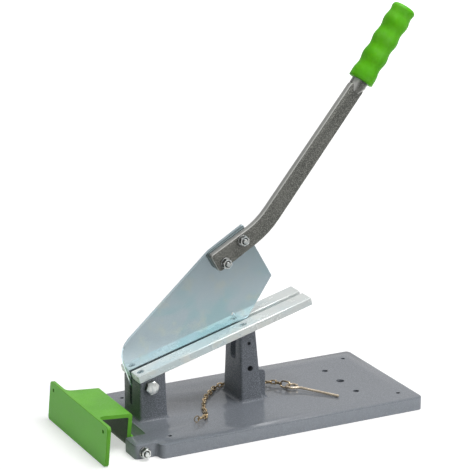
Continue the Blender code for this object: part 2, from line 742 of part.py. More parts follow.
def build_rail(name, near, far, material):
    """Build one rail with its countersunk screw holes."""
    outline = rectangle(0, RAIL_LENGTH, near, far, RAIL_EDGE, 1)
    rail = new_object(name, slab(outline, 0, RAIL_THICKNESS, RAIL_EDGE, RAIL_EDGE, 1),
                      frame_matrix(RAIL_FOOT, RAIL_NORMAL, RAIL_DIRECTION))
    shank = RAIL_SCREW_DIAMETER / 2 + BOLT_CLEARANCE
    head = RAIL_SCREW_HEAD_DIAMETER / 2 + BOLT_CLEARANCE
    cone_top = RAIL_THICKNESS - RAIL_SCREW_SINK
    cone_foot = cone_top - RAIL_SCREW_HEAD_HEIGHT
    bodies = []
    for place, _ in rail_screw_places():
        if near < place.y < far:
            profile = [(shank, -OVERRUN), (shank, cone_foot), (head, cone_top),
                       (head, RAIL_THICKNESS + OVERRUN)]
            bodies.append(placed(turned(profile, SMALL_SEGMENTS),
                                 frame_matrix(place, RAIL_NORMAL, RAIL_DIRECTION)))
    cut(rail, join_bodies("guide_" + name + "_holes", bodies))
    return finish(rail, material)


def build_rail_screws(material):
    """Build the four countersunk rail screws, each with a hexagon socket."""
    shank = RAIL_SCREW_DIAMETER / 2
    head = RAIL_SCREW_HEAD_DIAMETER / 2
    top = RAIL_THICKNESS - RAIL_SCREW_SINK
    floor = top - SOCKET_DEPTH
    labels = ("front_near", "front_far", "tall_near", "tall_far")
    for label, (place, length) in zip(labels, rail_screw_places()):
        foot = RAIL_THICKNESS - length
        rings = [round_ring(shank - THREAD_CHAMFER, foot),
                 round_ring(shank, foot + THREAD_CHAMFER),
                 round_ring(shank, top - RAIL_SCREW_HEAD_HEIGHT),
                 round_ring(head, top),
                 hexagon_ring(SOCKET_WIDTH, top),
                 hexagon_ring(SOCKET_WIDTH, floor)]
        screw = new_object("rail_screw_" + label, loft(rings),
                           frame_matrix(place, RAIL_NORMAL, RAIL_DIRECTION))
        finish(screw, material)


def tangent_angle(point, radius, side):
    """Return where a line from point touches a circle about the origin."""
    place = Vector(point)
    lean = math.acos(radius / place.length)
    return math.atan2(place.y, place.x) + side * lean


def blade_outline():
    """Return the blade's outline in X and Z, measured from the pivot."""
    first = tangent_angle(BLADE_HEEL, BLADE_BOSS_RADIUS, 1)
    last = tangent_angle(BLADE_TANG, BLADE_BOSS_RADIUS, -1) + 2 * math.pi
    arc = []
    steps = ROUND_SEGMENTS // 2
    for step in range(steps + 1):
        turn = first + (last - first) * step / steps
        arc.append((BLADE_BOSS_RADIUS * math.cos(turn), BLADE_BOSS_RADIUS * math.sin(turn)))
    toe_z = BLADE_TANG[1] + (BLADE_TOE_X - BLADE_TANG[0]) * math.tan(RAIL_SLOPE)
    corners = arc + [BLADE_TANG, (BLADE_TOE_X, toe_z), BLADE_NOSE, BLADE_TOP,
                     BLADE_SHOULDER, BLADE_HEEL]
    radii = [0] * len(arc) + [BLADE_TANG_RADIUS, BLADE_TOE_RADIUS, BLADE_NOSE_RADIUS,
                              BLADE_NOSE_RADIUS, BLADE_SHOULDER_RADIUS, BLADE_HEEL_RADIUS]
    return round_corners(corners, radii, FILLET_SEGMENTS)


def build_blade(material, parent):
    """Build the blade plate with its holes and its ground cutting edge."""
    builder = slab(blade_outline(), 0, BLADE_THICKNESS, BLADE_EDGE_BREAK, BLADE_EDGE_BREAK, 1)
    blade = new_object("blade", builder, side_matrix(BLADE_NEAR_Y))
    holes = [(0, 0, PIVOT_DIAMETER / 2 + BOLT_CLEARANCE),
             (LOCK_RADIUS * math.cos(LOCK_REST_ANGLE), LOCK_RADIUS * math.sin(LOCK_REST_ANGLE),
              LOCK_HOLE_DIAMETER / 2),
             (*HANDLE_BOLT_LOW, HANDLE_BOLT_DIAMETER / 2 + BOLT_CLEARANCE),
             (*HANDLE_BOLT_HIGH, HANDLE_BOLT_DIAMETER / 2 + BOLT_CLEARANCE)]
    bodies = []
    for x, z, radius in holes:
        segments = ROUND_SEGMENTS if radius > PIVOT_DIAMETER / 2 else SMALL_SEGMENTS
        bodies.append(placed(turned([(radius, 0), (radius, BLADE_THICKNESS + 2 * OVERRUN)],
                                    segments),
                             frame_matrix((x, BLADE_NEAR_Y - OVERRUN, z), Y_AXIS, X_AXIS)))
    hole_guide = join_bodies("guide_blade_holes", bodies)
    hole_guide.parent = parent
    cut(blade, hole_guide)

    wedge = ground_wedge()
    wedge.parent = parent
    cut(blade, wedge)
    return finish(blade, material, parent)


def ground_wedge():
    """Return the wedge that grinds the far face towards the cutting edge.

    Its section is a triangle across the edge between toe and nose: it starts
    BLADE_GROUND_WIDTH behind the edge and leaves BLADE_EDGE_LAND at the edge.
    """
    toe_z = BLADE_TANG[1] + (BLADE_TOE_X - BLADE_TANG[0]) * math.tan(RAIL_SLOPE)
    toe = Vector((BLADE_TOE_X, 0, toe_z))
    nose = Vector((BLADE_NOSE[0], 0, BLADE_NOSE[1]))
    along = (nose - toe).normalized()
    outward = Vector((along.z, 0, -along.x))
    rise = BLADE_THICKNESS - BLADE_EDGE_LAND
    slope = rise / BLADE_GROUND_WIDTH
    inner = -BLADE_GROUND_WIDTH - OVERRUN
    section = [(inner, BLADE_FAR_Y + slope * OVERRUN),
               (OVERRUN, BLADE_NEAR_Y + BLADE_EDGE_LAND - slope * OVERRUN),
               (OVERRUN, BLADE_FAR_Y + slope * OVERRUN)]
    start = toe - along * BLADE_GROUND_WIDTH
    end = nose + along * BLADE_GROUND_WIDTH
    rings = [[place + outward * across + Y_AXIS * y for across, y in section]
             for place in (start, end)]
    return new_object("guide_ground_wedge", loft(rings))


def arm_outline():
    """Return the flat arm's outline in X and Z: a kinked, tapering bar."""
    root = Vector(ARM_ROOT)
    bend = Vector(ARM_BEND)
    tip = Vector(GRIP_START)
    lower = (bend - root).normalized()
    upper = (tip - bend).normalized()
    lower_side = Vector((-lower.y, lower.x))
    upper_side = Vector((-upper.y, upper.x))
    half_root = ARM_ROOT_WIDTH / 2
    half_upper = ARM_UPPER_WIDTH / 2
    half_bend = (half_root + half_upper) / 2
    middle_side = (lower_side + upper_side).normalized()
    stretch = 1 / middle_side.dot(lower_side)
    end = tip - upper * NECK_LENGTH
    corners = [root - lower_side * half_root, bend - middle_side * half_bend * stretch,
               end - upper_side * half_upper, end + upper_side * half_upper,
               bend + middle_side * half_bend * stretch, root + lower_side * half_root]
    inner = ARM_BEND_RADIUS - half_bend
    outer = ARM_BEND_RADIUS + half_bend
    radii = [ARM_ROOT_CORNER, outer, ARM_ROOT_CORNER, ARM_ROOT_CORNER, inner, ARM_ROOT_CORNER]
    return round_corners(corners, radii, FILLET_SEGMENTS)


def build_arm(material, parent):
    """Build the handle arm: a flat kinked bar that turns into a round neck."""
    builder = slab(arm_outline(), 0, ARM_THICKNESS, ARM_EDGE_RADIUS, ARM_EDGE_RADIUS)
    arm = new_object("handle_arm", builder, side_matrix(ARM_NEAR_Y))

    neck_profile = [(NECK_CONE_DIAMETER / 2, -NECK_LENGTH - NECK_CONE_LENGTH),
                    (NECK_DIAMETER / 2, -NECK_LENGTH),
                    (NECK_DIAMETER / 2, -SEAT_GAP),
                    (SPIGOT_DIAMETER / 2, -SEAT_GAP),
                    (SPIGOT_DIAMETER / 2, SPIGOT_LENGTH - SPIGOT_CHAMFER),
                    (SPIGOT_DIAMETER / 2 - SPIGOT_CHAMFER, SPIGOT_LENGTH)]
    neck = new_object("guide_neck", turned(neck_profile), grip_matrix())
    neck.parent = parent
    unite(arm, neck)

    radius = HANDLE_BOLT_DIAMETER / 2 + BOLT_CLEARANCE
    bodies = [placed(turned([(radius, 0), (radius, ARM_THICKNESS + 2 * OVERRUN)], SMALL_SEGMENTS),
                     frame_matrix((x, ARM_NEAR_Y - OVERRUN, z), Y_AXIS, X_AXIS))
              for x, z in (HANDLE_BOLT_LOW, HANDLE_BOLT_HIGH)]
    holes = join_bodies("guide_arm_holes", bodies)
    holes.parent = parent
    cut(arm, holes)
    return finish(arm, material, parent)


def grip_matrix():
    """Return the grip's frame: Z along its axis, X in the swing plane."""
    axis = Vector((math.cos(GRIP_ANGLE), 0, math.sin(GRIP_ANGLE)))
    start = (GRIP_START[0], ARM_MIDDLE_Y, GRIP_START[1])
    return frame_matrix(start, axis, X_AXIS)


def build_grip(material, parent):
    """Build the hand grip with its finger waves and blind bore."""
    bore = SPIGOT_DIAMETER / 2 + GRIP_BORE_CLEARANCE
    profile = [(GRIP_COLLAR_RADIUS - GRIP_EDGE_BREAK, 0), (GRIP_COLLAR_RADIUS, GRIP_EDGE_BREAK),
               (GRIP_COLLAR_RADIUS, GRIP_COLLAR_LENGTH)]
    spacing = GRIP_WAVE_PITCH / WAVE_SEGMENTS
    last = GRIP_LENGTH - GRIP_END_RADIUS
    height = GRIP_COLLAR_LENGTH + spacing
    while height < last - spacing / 2:
        turn = 2 * math.pi * (height - GRIP_FIRST_VALLEY) / GRIP_WAVE_PITCH
        profile.append((GRIP_RADIUS - GRIP_WAVE * math.cos(turn), height))
        height += spacing
    for step in range(CORNER_SEGMENTS + 1):
        turn = math.pi / 2 * step / CORNER_SEGMENTS
        profile.append((GRIP_RADIUS - GRIP_END_RADIUS * (1 - math.cos(turn)),
                        last + GRIP_END_RADIUS * math.sin(turn)))
    grip = new_object("handle_grip", turned(profile), grip_matrix())
    hole = new_object("guide_grip_bore",
                      turned([(bore, -OVERRUN), (bore, SPIGOT_LENGTH + SEAT_GAP)]),
                      grip_matrix())
    hole.parent = parent
    cut(grip, hole)
    return finish(grip, material, parent)


def build_bolt(name, place, axis, flats, head_height, radius, length, material,
               parent=None, turn=0):
    """Build a hexagon bolt that runs from its head's seat along axis."""
    chamfer = head_height * HEX_CHAMFER_SHARE
    rings = [round_ring(flats / 2 * HEX_FACE_SHARE, -head_height, turn),
             hexagon_ring(flats, chamfer - head_height, turn),
             hexagon_ring(flats, 0, turn),
             round_ring(radius, 0, turn),
             round_ring(radius, length - THREAD_CHAMFER, turn),
             round_ring(radius - THREAD_CHAMFER, length, turn)]
    bolt = new_object(name, loft(rings), frame_matrix(place, axis, X_AXIS))
    return finish(bolt, material, parent)


def build_nut(name, place, axis, flats, hole_radius, height, material, parent=None, turn=0):
    """Build a hexagon nut that runs from its seat along axis."""
    chamfer = height * HEX_CHAMFER_SHARE
    rings = [round_ring(hole_radius, 0, turn),
             hexagon_ring(flats, 0, turn),
             hexagon_ring(flats, height - chamfer, turn),
             round_ring(flats / 2 * HEX_FACE_SHARE, height, turn),
             round_ring(hole_radius, height, turn)]
    nut = new_object(name, loft(rings, closed=True), frame_matrix(place, axis, X_AXIS))
    return finish(nut, material, parent)


def build_washer(name, place, axis, radius, hole_radius, thickness, material, parent=None):
    """Build a washer that runs from its seat along axis."""
    profile = [(hole_radius, 0), (radius, 0), (radius, thickness), (hole_radius, thickness)]
    washer = new_object(name, turned(profile, closed=True), frame_matrix(place, axis, X_AXIS))
    return finish(washer, material, parent)


def build_pivot(steel):
    """Build the pivot bolt, the shims beside the blade and the nut."""
    shim = (FRONT_SLOT_WIDTH - BLADE_THICKNESS) / 2 - 2 * SEAT_GAP
    radius = PIVOT_DIAMETER / 2
    hole = radius + BOLT_CLEARANCE
    near_face = BLADE_NEAR_Y - SEAT_GAP - shim
    build_washer("pivot_shim_near", (PIVOT_X, near_face, PIVOT_Z), Y_AXIS,
                 SHIM_DIAMETER / 2, hole, shim, steel)
    build_washer("pivot_shim_far", (PIVOT_X, BLADE_FAR_Y + SEAT_GAP, PIVOT_Z), Y_AXIS,
                 SHIM_DIAMETER / 2, hole, shim, steel)

    head_seat = FRONT_NEAR_Y - SEAT_GAP
    nut_seat = FRONT_FAR_Y + SEAT_GAP
    length = nut_seat + M12_NUT_HEIGHT + M12_THREAD_END - head_seat
    build_bolt("pivot_bolt", (PIVOT_X, head_seat, PIVOT_Z), Y_AXIS, M12_ACROSS_FLATS,
               M12_HEAD_HEIGHT, radius, length, steel, turn=PIVOT_HEAD_TURN)
    build_nut("pivot_nut", (PIVOT_X, nut_seat, PIVOT_Z), Y_AXIS, M12_ACROSS_FLATS, hole,
              M12_NUT_HEIGHT, steel, turn=math.pi / 6 - RAIL_SLOPE)


def build_handle_fasteners(steel, parent):
    """Build the two bolts that hold the arm to the blade."""
    radius = HANDLE_BOLT_DIAMETER / 2
    hole = radius + BOLT_CLEARANCE
    toward = -Y_AXIS
    head_seat = BLADE_FAR_Y + SEAT_GAP
    washer_seat = ARM_NEAR_Y - SEAT_GAP
    nut_seat = washer_seat - M8_WASHER_THICKNESS - SEAT_GAP
    length = head_seat - nut_seat + M8_NUT_HEIGHT + M8_THREAD_END
    spots = {"low": (HANDLE_BOLT_LOW, LOW_NUT_TURN), "high": (HANDLE_BOLT_HIGH, HIGH_NUT_TURN)}
    for label, ((x, z), turn) in spots.items():
        build_bolt("handle_bolt_" + label, (x, head_seat, z), toward, M8_ACROSS_FLATS,
                   M8_HEAD_HEIGHT, radius, length, steel, parent)
        build_washer("handle_washer_" + label, (x, washer_seat, z), toward,
                     M8_WASHER_DIAMETER / 2, hole, M8_WASHER_THICKNESS, steel, parent)
        build_nut("handle_nut_" + label, (x, nut_seat, z), toward, M8_ACROSS_FLATS, hole,
                  M8_NUT_HEIGHT, steel, parent, turn)


def build_axle(steel):
    """Build the bracket's axle bolt with its washers and nut."""
    radius = AXLE_DIAMETER / 2
    hole = radius + BOLT_CLEARANCE
    toward = -Y_AXIS
    far_washer = LUG_OUTER_Y + SEAT_GAP + M8_WASHER_THICKNESS
    near_washer = -LUG_OUTER_Y - SEAT_GAP
    head_seat = far_washer + SEAT_GAP
    nut_seat = near_washer - M8_WASHER_THICKNESS - SEAT_GAP
    length = head_seat - nut_seat + M8_NUT_HEIGHT + M8_THREAD_END
    build_bolt("axle_bolt", (AXLE_X, head_seat, AXLE_HEIGHT), toward, M8_ACROSS_FLATS,
               M8_HEAD_HEIGHT, radius, length, steel)
    build_nut("axle_nut", (AXLE_X, nut_seat, AXLE_HEIGHT), toward, M8_ACROSS_FLATS, hole,
              M8_NUT_HEIGHT, steel)
    for label, seat in (("far", far_washer), ("near", near_washer)):
        build_washer("axle_washer_" + label, (AXLE_X, seat, AXLE_HEIGHT), toward,
                     M8_WASHER_DIAMETER / 2, hole, M8_WASHER_THICKNESS, steel)


def bracket_tilt():
    """Return the turn about Y that rests the face plate's foot on the floor."""
    back = BRACKET_REACH
    drop = BRACKET_WEB_TOP - BRACKET_PLATE_HEIGHT
    radius = math.hypot(back, drop)
    return math.asin(-AXLE_HEIGHT / radius) - math.atan2(drop, back)


def build_bracket(material, parent):
    """Build the folding bracket: face plate, web, flange and axle eye.

    Its frame has the axle at the origin, with the flange standing up and the
    face plate to the left.
    """
    half_plate = BRACKET_PLATE_WIDTH / 2
    half_web = BRACKET_WEB_WIDTH / 2
    outer = -BRACKET_REACH
    inner = outer + BRACKET_SHEET
    right = -BRACKET_FLANGE_OFFSET
    flange_left = right - BRACKET_SHEET
    top = BRACKET_WEB_TOP
    foot = top - BRACKET_PLATE_HEIGHT

    face = slab(round_corners([(-half_plate, foot), (half_plate, foot), (half_plate, top),
                               (-half_plate, top)], [BRACKET_CORNER_RADIUS] * 4),
                outer, inner, BRACKET_EDGE_BREAK, BRACKET_EDGE_BREAK, 1)
    matrix = Matrix(((0, 0, 1, 0), (1, 0, 0, 0), (0, 1, 0, 0), (0, 0, 0, 1)))
    bracket = new_object("bracket", face, matrix)

    profile = round_corners(
        [(inner - BRACKET_SHEET / 2, top - BRACKET_EDGE_BREAK), (right, top - BRACKET_EDGE_BREAK),
         (right, 0), (flange_left, 0), (flange_left, top - BRACKET_SHEET),
         (inner - BRACKET_SHEET / 2, top - BRACKET_SHEET)],
        [0, BRACKET_BEND_RADIUS, 0, 0, BRACKET_INNER_RADIUS, 0])
    reach = half_web + BRACKET_FILLET_RADIUS
    web = new_object("guide_web", slab(profile, 0, 2 * reach), side_matrix(-reach))
    trims = []
    for side in (-1, 1):
        plan = [(inner, side * reach)]
        for step in range(FILLET_SEGMENTS + 1):
            turn = math.pi / 2 * step / FILLET_SEGMENTS
            plan.append((inner + BRACKET_FILLET_RADIUS * (1 - math.cos(turn)),
                         side * (reach - BRACKET_FILLET_RADIUS * math.sin(turn))))
        plan += [(OVERRUN, side * half_web), (OVERRUN, side * (reach + OVERRUN)),
                 (inner, side * (reach + OVERRUN))]
        trims.append(slab(plan[1:], -OVERRUN, top + OVERRUN))
    trim = join_bodies("guide_web_trims", trims)
    cut(web, trim)
    unite(bracket, web)

    eye = rod("guide_axle_eye", (0, -half_web, 0), Y_AXIS, BRACKET_EYE_DIAMETER / 2,
              BRACKET_WEB_WIDTH)
    unite(bracket, eye)
    bore = rod("guide_eye_bore", (0, -half_web - OVERRUN, 0), Y_AXIS,
               AXLE_DIAMETER / 2 + BOLT_CLEARANCE, BRACKET_WEB_WIDTH + 2 * OVERRUN)
    cut(bracket, bore)

    bodies = []
    for side in (-1, 1):
        place = (outer - OVERRUN, side * BRACKET_HOLE_SPACING / 2, top - BRACKET_HOLE_DROP)
        radius = BRACKET_HOLE_DIAMETER / 2
        bodies.append(placed(turned([(radius, 0), (radius, BRACKET_SHEET + 2 * OVERRUN)],
                                    SMALL_SEGMENTS), frame_matrix(place, X_AXIS, Y_AXIS)))
    holes = join_bodies("guide_bracket_holes", bodies)
    cut(bracket, holes)
    for guide in (web, trim, eye, bore, holes):
        guide.parent = parent
    return finish(bracket, material, parent)


def tube(path, radius, sides, closed):
    """Sweep a round section along a path of points, without twist."""
    count = len(path)
    rings = []
    normal = None
    for index, place in enumerate(path):
        before = path[index - 1] if closed or index else place
        after = path[(index + 1) % count] if closed or index < count - 1 else place
        forward = (after - before).normalized()
        if normal is None:
            normal = forward.orthogonal().normalized()
        normal = (normal - forward * normal.dot(forward)).normalized()
        across = forward.cross(normal)
        rings.append([place + (normal * math.cos(2 * math.pi * k / sides)
                               + across * math.sin(2 * math.pi * k / sides)) * radius
                      for k in range(sides)])
    return loft(rings, closed)


def link_path(length, width, wire, count):
    """Return an oval link's wire centre, flat in XY with its length along X."""
    radius = (width - wire) / 2
    straight = (length - width) / 2
    path = []
    half = count // 2
    for side in (1, -1):
        for step in range(half):
            turn = -math.pi / 2 + math.pi * step / (half - 1)
            path.append(Vector((side * (straight + radius * math.cos(turn)),
                                side * radius * math.sin(turn), 0)))
    return path


def link_mesh(name, length, width, material):
    """Return the mesh of one chain link, with its length along X."""
    path = link_path(length, width, CHAIN_WIRE, LINK_POINTS)
    item = new_object(name, tube(path, CHAIN_WIRE / 2, LINK_SIDES, closed=True))
    finish(item, material)
    mesh = item.data
    bpy.data.objects.remove(item)
    return mesh


def place_link(name, mesh, centre, forward, roll):
    """Place one link along forward, rolled about its own length."""
    forward = Vector(forward).normalized()
    upward = Z_AXIS - forward * forward.z
    link = bpy.data.objects.new(name, mesh)
    link.matrix_world = frame_matrix(centre, upward, forward) @ Matrix.Rotation(roll, 4, "X")
    bpy.context.collection.objects.link(link)


def rest_height(width, roll):
    """Return the height at which a rolled link lies on the base plate."""
    spread = (width - CHAIN_WIRE) / 2 * abs(math.sin(roll))
    return BASE_TOP_Z + SEAT_GAP + spread + CHAIN_WIRE / 2


def smooth_route(points):
    """Return a dense smooth curve through the route's points."""
    first = [2 * points[0][k] - points[1][k] for k in range(2)]
    last = [2 * points[-1][k] - points[-2][k] for k in range(2)]
    padded = [Vector(p) for p in [first, *points, last]]
    curve = []
    for index in range(1, len(padded) - 2):
        p0, p1, p2, p3 = padded[index - 1:index + 3]
        for step in range(ROUTE_STEPS):
            t = step / ROUTE_STEPS
            curve.append(0.5 * (2 * p1 + (p2 - p0) * t
                                + (2 * p0 - 5 * p1 + 4 * p2 - p3) * t * t
                                + (3 * p1 - p0 - 3 * p2 + p3) * t * t * t))
    curve.append(padded[-2])
    return curve


def place_at(curve, distance):
    """Return the point that lies a distance along a curve."""
    for before, after in zip(curve, curve[1:]):
        step = (after - before).length
        if distance <= step:
            return before.lerp(after, distance / step)
        distance -= step
    last = (curve[-1] - curve[-2]).normalized()
    return curve[-1] + last * distance


def end_link_centre():
    """Return the centre of the link that is hooked around the pin's ring."""
    straight = (END_LINK_LENGTH - END_LINK_WIDTH) / 2
    bearing = Vector((math.cos(CHAIN_END_BEARING), math.sin(CHAIN_END_BEARING)))
    return from_left_edge(PIN_RING_PLACE) - bearing * (PIN_RING_RADIUS + straight + SEAT_GAP)


def chain_curve():
    """Return the line of the chain from its eye to its last link's centre."""
    half_link = CHAIN_LINK_LENGTH / 2 - CHAIN_WIRE
    end_half = END_LINK_LENGTH / 2 - CHAIN_WIRE
    bearing = Vector((math.cos(CHAIN_END_BEARING), math.sin(CHAIN_END_BEARING)))
    last = end_link_centre() - bearing * (half_link + end_half - SEAT_GAP)
    before_last = last - bearing * (2 * half_link)
    route = [from_left_edge(place) for place in CHAIN_ROUTE]
    flat = smooth_route([*route, before_last, last])
    total = sum((after - before).length for before, after in zip(flat, flat[1:]))
    rest = rest_height(CHAIN_LINK_WIDTH, CHAIN_ROLL)
    eye_rise = BASE_TOP_Z + SEAT_GAP + EYE_RADIUS + EYE_WIRE / 2 - rest
    end_rise = rest_height(END_LINK_WIDTH, END_LINK_ROLL) - rest
    curve = []
    travelled = 0
    for index, point in enumerate(flat):
        if index:
            travelled += (point - flat[index - 1]).length
        rise = eye_rise * max(0, 1 - travelled / CHAIN_LIFT_RUN)
        rise += end_rise * max(0, 1 - (total - travelled) / CHAIN_LIFT_RUN)
        curve.append(Vector((point.x, point.y, rest + rise)))
    return curve


def build_chain(material):
    """Build the chain's interlocked links, each turned against the one before."""
    curve = chain_curve()
    total = sum((after - before).length for before, after in zip(curve, curve[1:]))
    half_link = CHAIN_LINK_LENGTH / 2 - CHAIN_WIRE
    start = EYE_RADIUS - EYE_WIRE + half_link
    count = round((total - start) / (2 * half_link - CHAIN_SLACK)) + 1
    pitch = (total - start) / (count - 1)
    mesh = link_mesh("chain_link", CHAIN_LINK_LENGTH, CHAIN_LINK_WIDTH, material)
    for index in range(count):
        distance = start + pitch * index
        forward = place_at(curve, distance + half_link) - place_at(curve, distance - half_link)
        roll = -CHAIN_ROLL if (count - index) % 2 else CHAIN_ROLL
        place_link(f"chain_link_{index + 1:02d}", mesh, place_at(curve, distance), forward, roll)


def build_end_link(material):
    """Build the larger link between the chain and the pin's ring."""
    centre = end_link_centre()
    height = rest_height(END_LINK_WIDTH, END_LINK_ROLL)
    forward = (math.cos(CHAIN_END_BEARING), math.sin(CHAIN_END_BEARING), 0)
    mesh = link_mesh("chain_end_link", END_LINK_LENGTH, END_LINK_WIDTH, material)
    place_link("chain_end_link", mesh, (centre.x, centre.y, height), forward, END_LINK_ROLL)


def build_chain_eye(material):
    """Build the screw eye that ties the chain to the base plate."""
    anchor = from_left_edge(CHAIN_ROUTE[0]).to_3d()
    first_link = place_at(chain_curve(), EYE_RADIUS + CHAIN_LINK_LENGTH / 2 - CHAIN_WIRE)
    forward = Vector((first_link.x - anchor.x, first_link.y - anchor.y, 0)).normalized()
    middle = anchor + Z_AXIS * (BASE_TOP_Z + SEAT_GAP + EYE_RADIUS + EYE_WIRE / 2)
    path = []
    sweep = 2 * math.pi - EYE_OPENING
    for step in range(EYE_SEGMENTS + 1):
        turn = -math.pi / 2 + EYE_OPENING + sweep * step / EYE_SEGMENTS
        path.append(middle + (forward * math.cos(turn) + Z_AXIS * math.sin(turn)) * EYE_RADIUS)
    eye = new_object("chain_eye", tube(path, EYE_WIRE / 2, LINK_SIDES, closed=False))
    foot = anchor + Z_AXIS * (BASE_TOP_Z - EYE_SHANK_LENGTH)
    unite(eye, rod("guide_eye_shank", foot, Z_AXIS, EYE_WIRE / 2,
                   EYE_SHANK_LENGTH + SEAT_GAP + EYE_WIRE / 2, SMALL_SEGMENTS))
    return finish(eye, material)


def build_pin(material):
    """Build the locking pin: a straight shaft bent into a ring at one end."""
    forward = Vector((math.cos(PIN_ANGLE), math.sin(PIN_ANGLE), 0))
    side = Vector((-forward.y, forward.x, 0))
    low = BASE_TOP_Z + SEAT_GAP + PIN_DIAMETER / 2
    high = low + PIN_LIFT
    ring_point = from_left_edge(PIN_RING_PLACE).to_3d() + Z_AXIS * high
    start = PIN_RING_OPENING
    path = []
    sweep = 2 * math.pi - 2 * start
    for step in range(PIN_RING_SEGMENTS + 1):
        turn = start + sweep * step / PIN_RING_SEGMENTS
        path.append(ring_point + (forward * math.cos(turn) + side * math.sin(turn))
                    * PIN_RING_RADIUS)
    leave = path[-1]
    tangent = (path[-1] - path[-2]).normalized()
    join = ring_point + forward * (PIN_RING_RADIUS + PIN_BEND_RADIUS)
    for step in range(1, CORNER_SEGMENTS):
        t = step / CORNER_SEGMENTS
        corner = leave + tangent * PIN_BEND_RADIUS / 2
        path.append(leave * (1 - t) ** 2 + corner * 2 * t * (1 - t) + join * t * t)
    tip = ring_point + forward * (PIN_RING_RADIUS + PIN_SHAFT_LENGTH)
    tip.z = low
    path += [join, join.lerp(tip, 0.5), tip]
    pin = new_object("lock_pin", tube(path, PIN_DIAMETER / 2, SMALL_SEGMENTS, closed=False))
    return finish(pin, material)


def main():
    """Build every piece of the cutter."""
    clear_scene()
    hammered = make_material("hammered_grey", (0.33, 0.34, 0.35), 0.45, 0.2)
    arm_grey = make_material("arm_grey", (0.21, 0.205, 0.19), 0.45, 0.3)
    zinc = make_material("zinc_plate", (0.70, 0.74, 0.74), 0.3, 0.9)
    blade_zinc = make_material("blade_zinc", (0.55, 0.62, 0.65), 0.3, 0.85)
    green = make_material("green_paint", (0.16, 0.48, 0.05), 0.4, 0)
    grip_green = make_material("grip_green", (0.26, 0.62, 0.03), 0.5, 0)
    brass_zinc = make_material("yellow_zinc", (0.62, 0.47, 0.22), 0.35, 0.9)
    fastener = make_material("fastener_zinc", (0.72, 0.72, 0.72), 0.3, 0.9)

    lever_axis = axis_empty("lever_axis", (PIVOT_X, 0, PIVOT_Z))
    bracket_axis = axis_empty("bracket_axis", (AXLE_X, 0, AXLE_HEIGHT), bracket_tilt())

    build_base(hammered)
    near_edge = RAIL_NEAR_SLOT_Y - RAIL_WIDTH
    far_edge = RAIL_FAR_SLOT_Y + RAIL_WIDTH
    build_rail("rail_near", near_edge, RAIL_NEAR_SLOT_Y, zinc)
    build_rail("rail_far", RAIL_FAR_SLOT_Y, far_edge, zinc)
    build_rail_screws(fastener)

    build_blade(blade_zinc, lever_axis)
    build_arm(arm_grey, lever_axis)
    build_grip(grip_green, lever_axis)
    build_handle_fasteners(fastener, lever_axis)
    build_pivot(fastener)

    build_bracket(green, bracket_axis)
    build_axle(fastener)

    build_pin(brass_zinc)
    build_chain(brass_zinc)
    build_end_link(brass_zinc)
    build_chain_eye(brass_zinc)


main()
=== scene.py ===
"""Looks of a bench slate cutter: cast base, sloping rails, blade and long lever.

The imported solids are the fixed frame. Each sub-assembly is a class that dresses
its own pieces, each finish is a small frozen dataclass, and effects that several
finishes share are shader node groups. Lengths are in metres, and angles that are
called sharp are in degrees.
"""
from __future__ import annotations

import logging
import math
from dataclasses import dataclass
from enum import Enum
from typing import Sequence

import bmesh
import bpy
import numpy
from mathutils import Matrix, Vector

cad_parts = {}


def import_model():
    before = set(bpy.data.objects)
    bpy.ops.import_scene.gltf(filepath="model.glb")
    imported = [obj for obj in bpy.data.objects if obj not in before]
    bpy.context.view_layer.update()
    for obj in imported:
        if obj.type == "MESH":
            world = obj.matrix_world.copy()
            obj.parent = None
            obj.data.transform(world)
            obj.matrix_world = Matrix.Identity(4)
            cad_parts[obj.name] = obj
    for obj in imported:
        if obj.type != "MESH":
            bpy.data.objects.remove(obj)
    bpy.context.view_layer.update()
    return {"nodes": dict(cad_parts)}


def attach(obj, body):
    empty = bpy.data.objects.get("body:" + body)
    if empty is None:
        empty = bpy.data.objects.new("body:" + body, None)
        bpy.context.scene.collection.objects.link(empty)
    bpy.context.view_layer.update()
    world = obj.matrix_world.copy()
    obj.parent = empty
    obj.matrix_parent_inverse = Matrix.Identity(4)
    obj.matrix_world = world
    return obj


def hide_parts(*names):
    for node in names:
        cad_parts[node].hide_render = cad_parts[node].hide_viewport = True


LOG = logging.getLogger("slate_cutter")
MM = 0.001
WELD_DISTANCE = 0.002 * MM
FLAT_ANGLE = math.radians(0.4)
PIECE_SHARP = 32.0
TURNED_SHARP = 22.0
WHITE = (1.0, 1.0, 1.0)

Colour = tuple[float, float, float]
Point = tuple[float, float, float]
Span = tuple[float, float]


class Body(Enum):
    """Rigid bodies of the cutter."""

    BASE = "base"
    LEVER = "lever"
    BRACKET = "edge_bracket"


class Slot(Enum):
    """Material slots of the record."""

    CAST_BASE = "cast_base"
    ARM = "arm_paint"
    RAILS = "rails"
    BLADE = "blade_steel"
    FASTENERS = "fasteners"
    GRIP = "grip"
    BRACKET = "bracket_paint"
    PIN_AND_CHAIN = "pin_and_chain"


def darker(colour: Colour, share: float) -> Colour:
    """Return a share of a colour."""
    return tuple(share * channel for channel in colour)


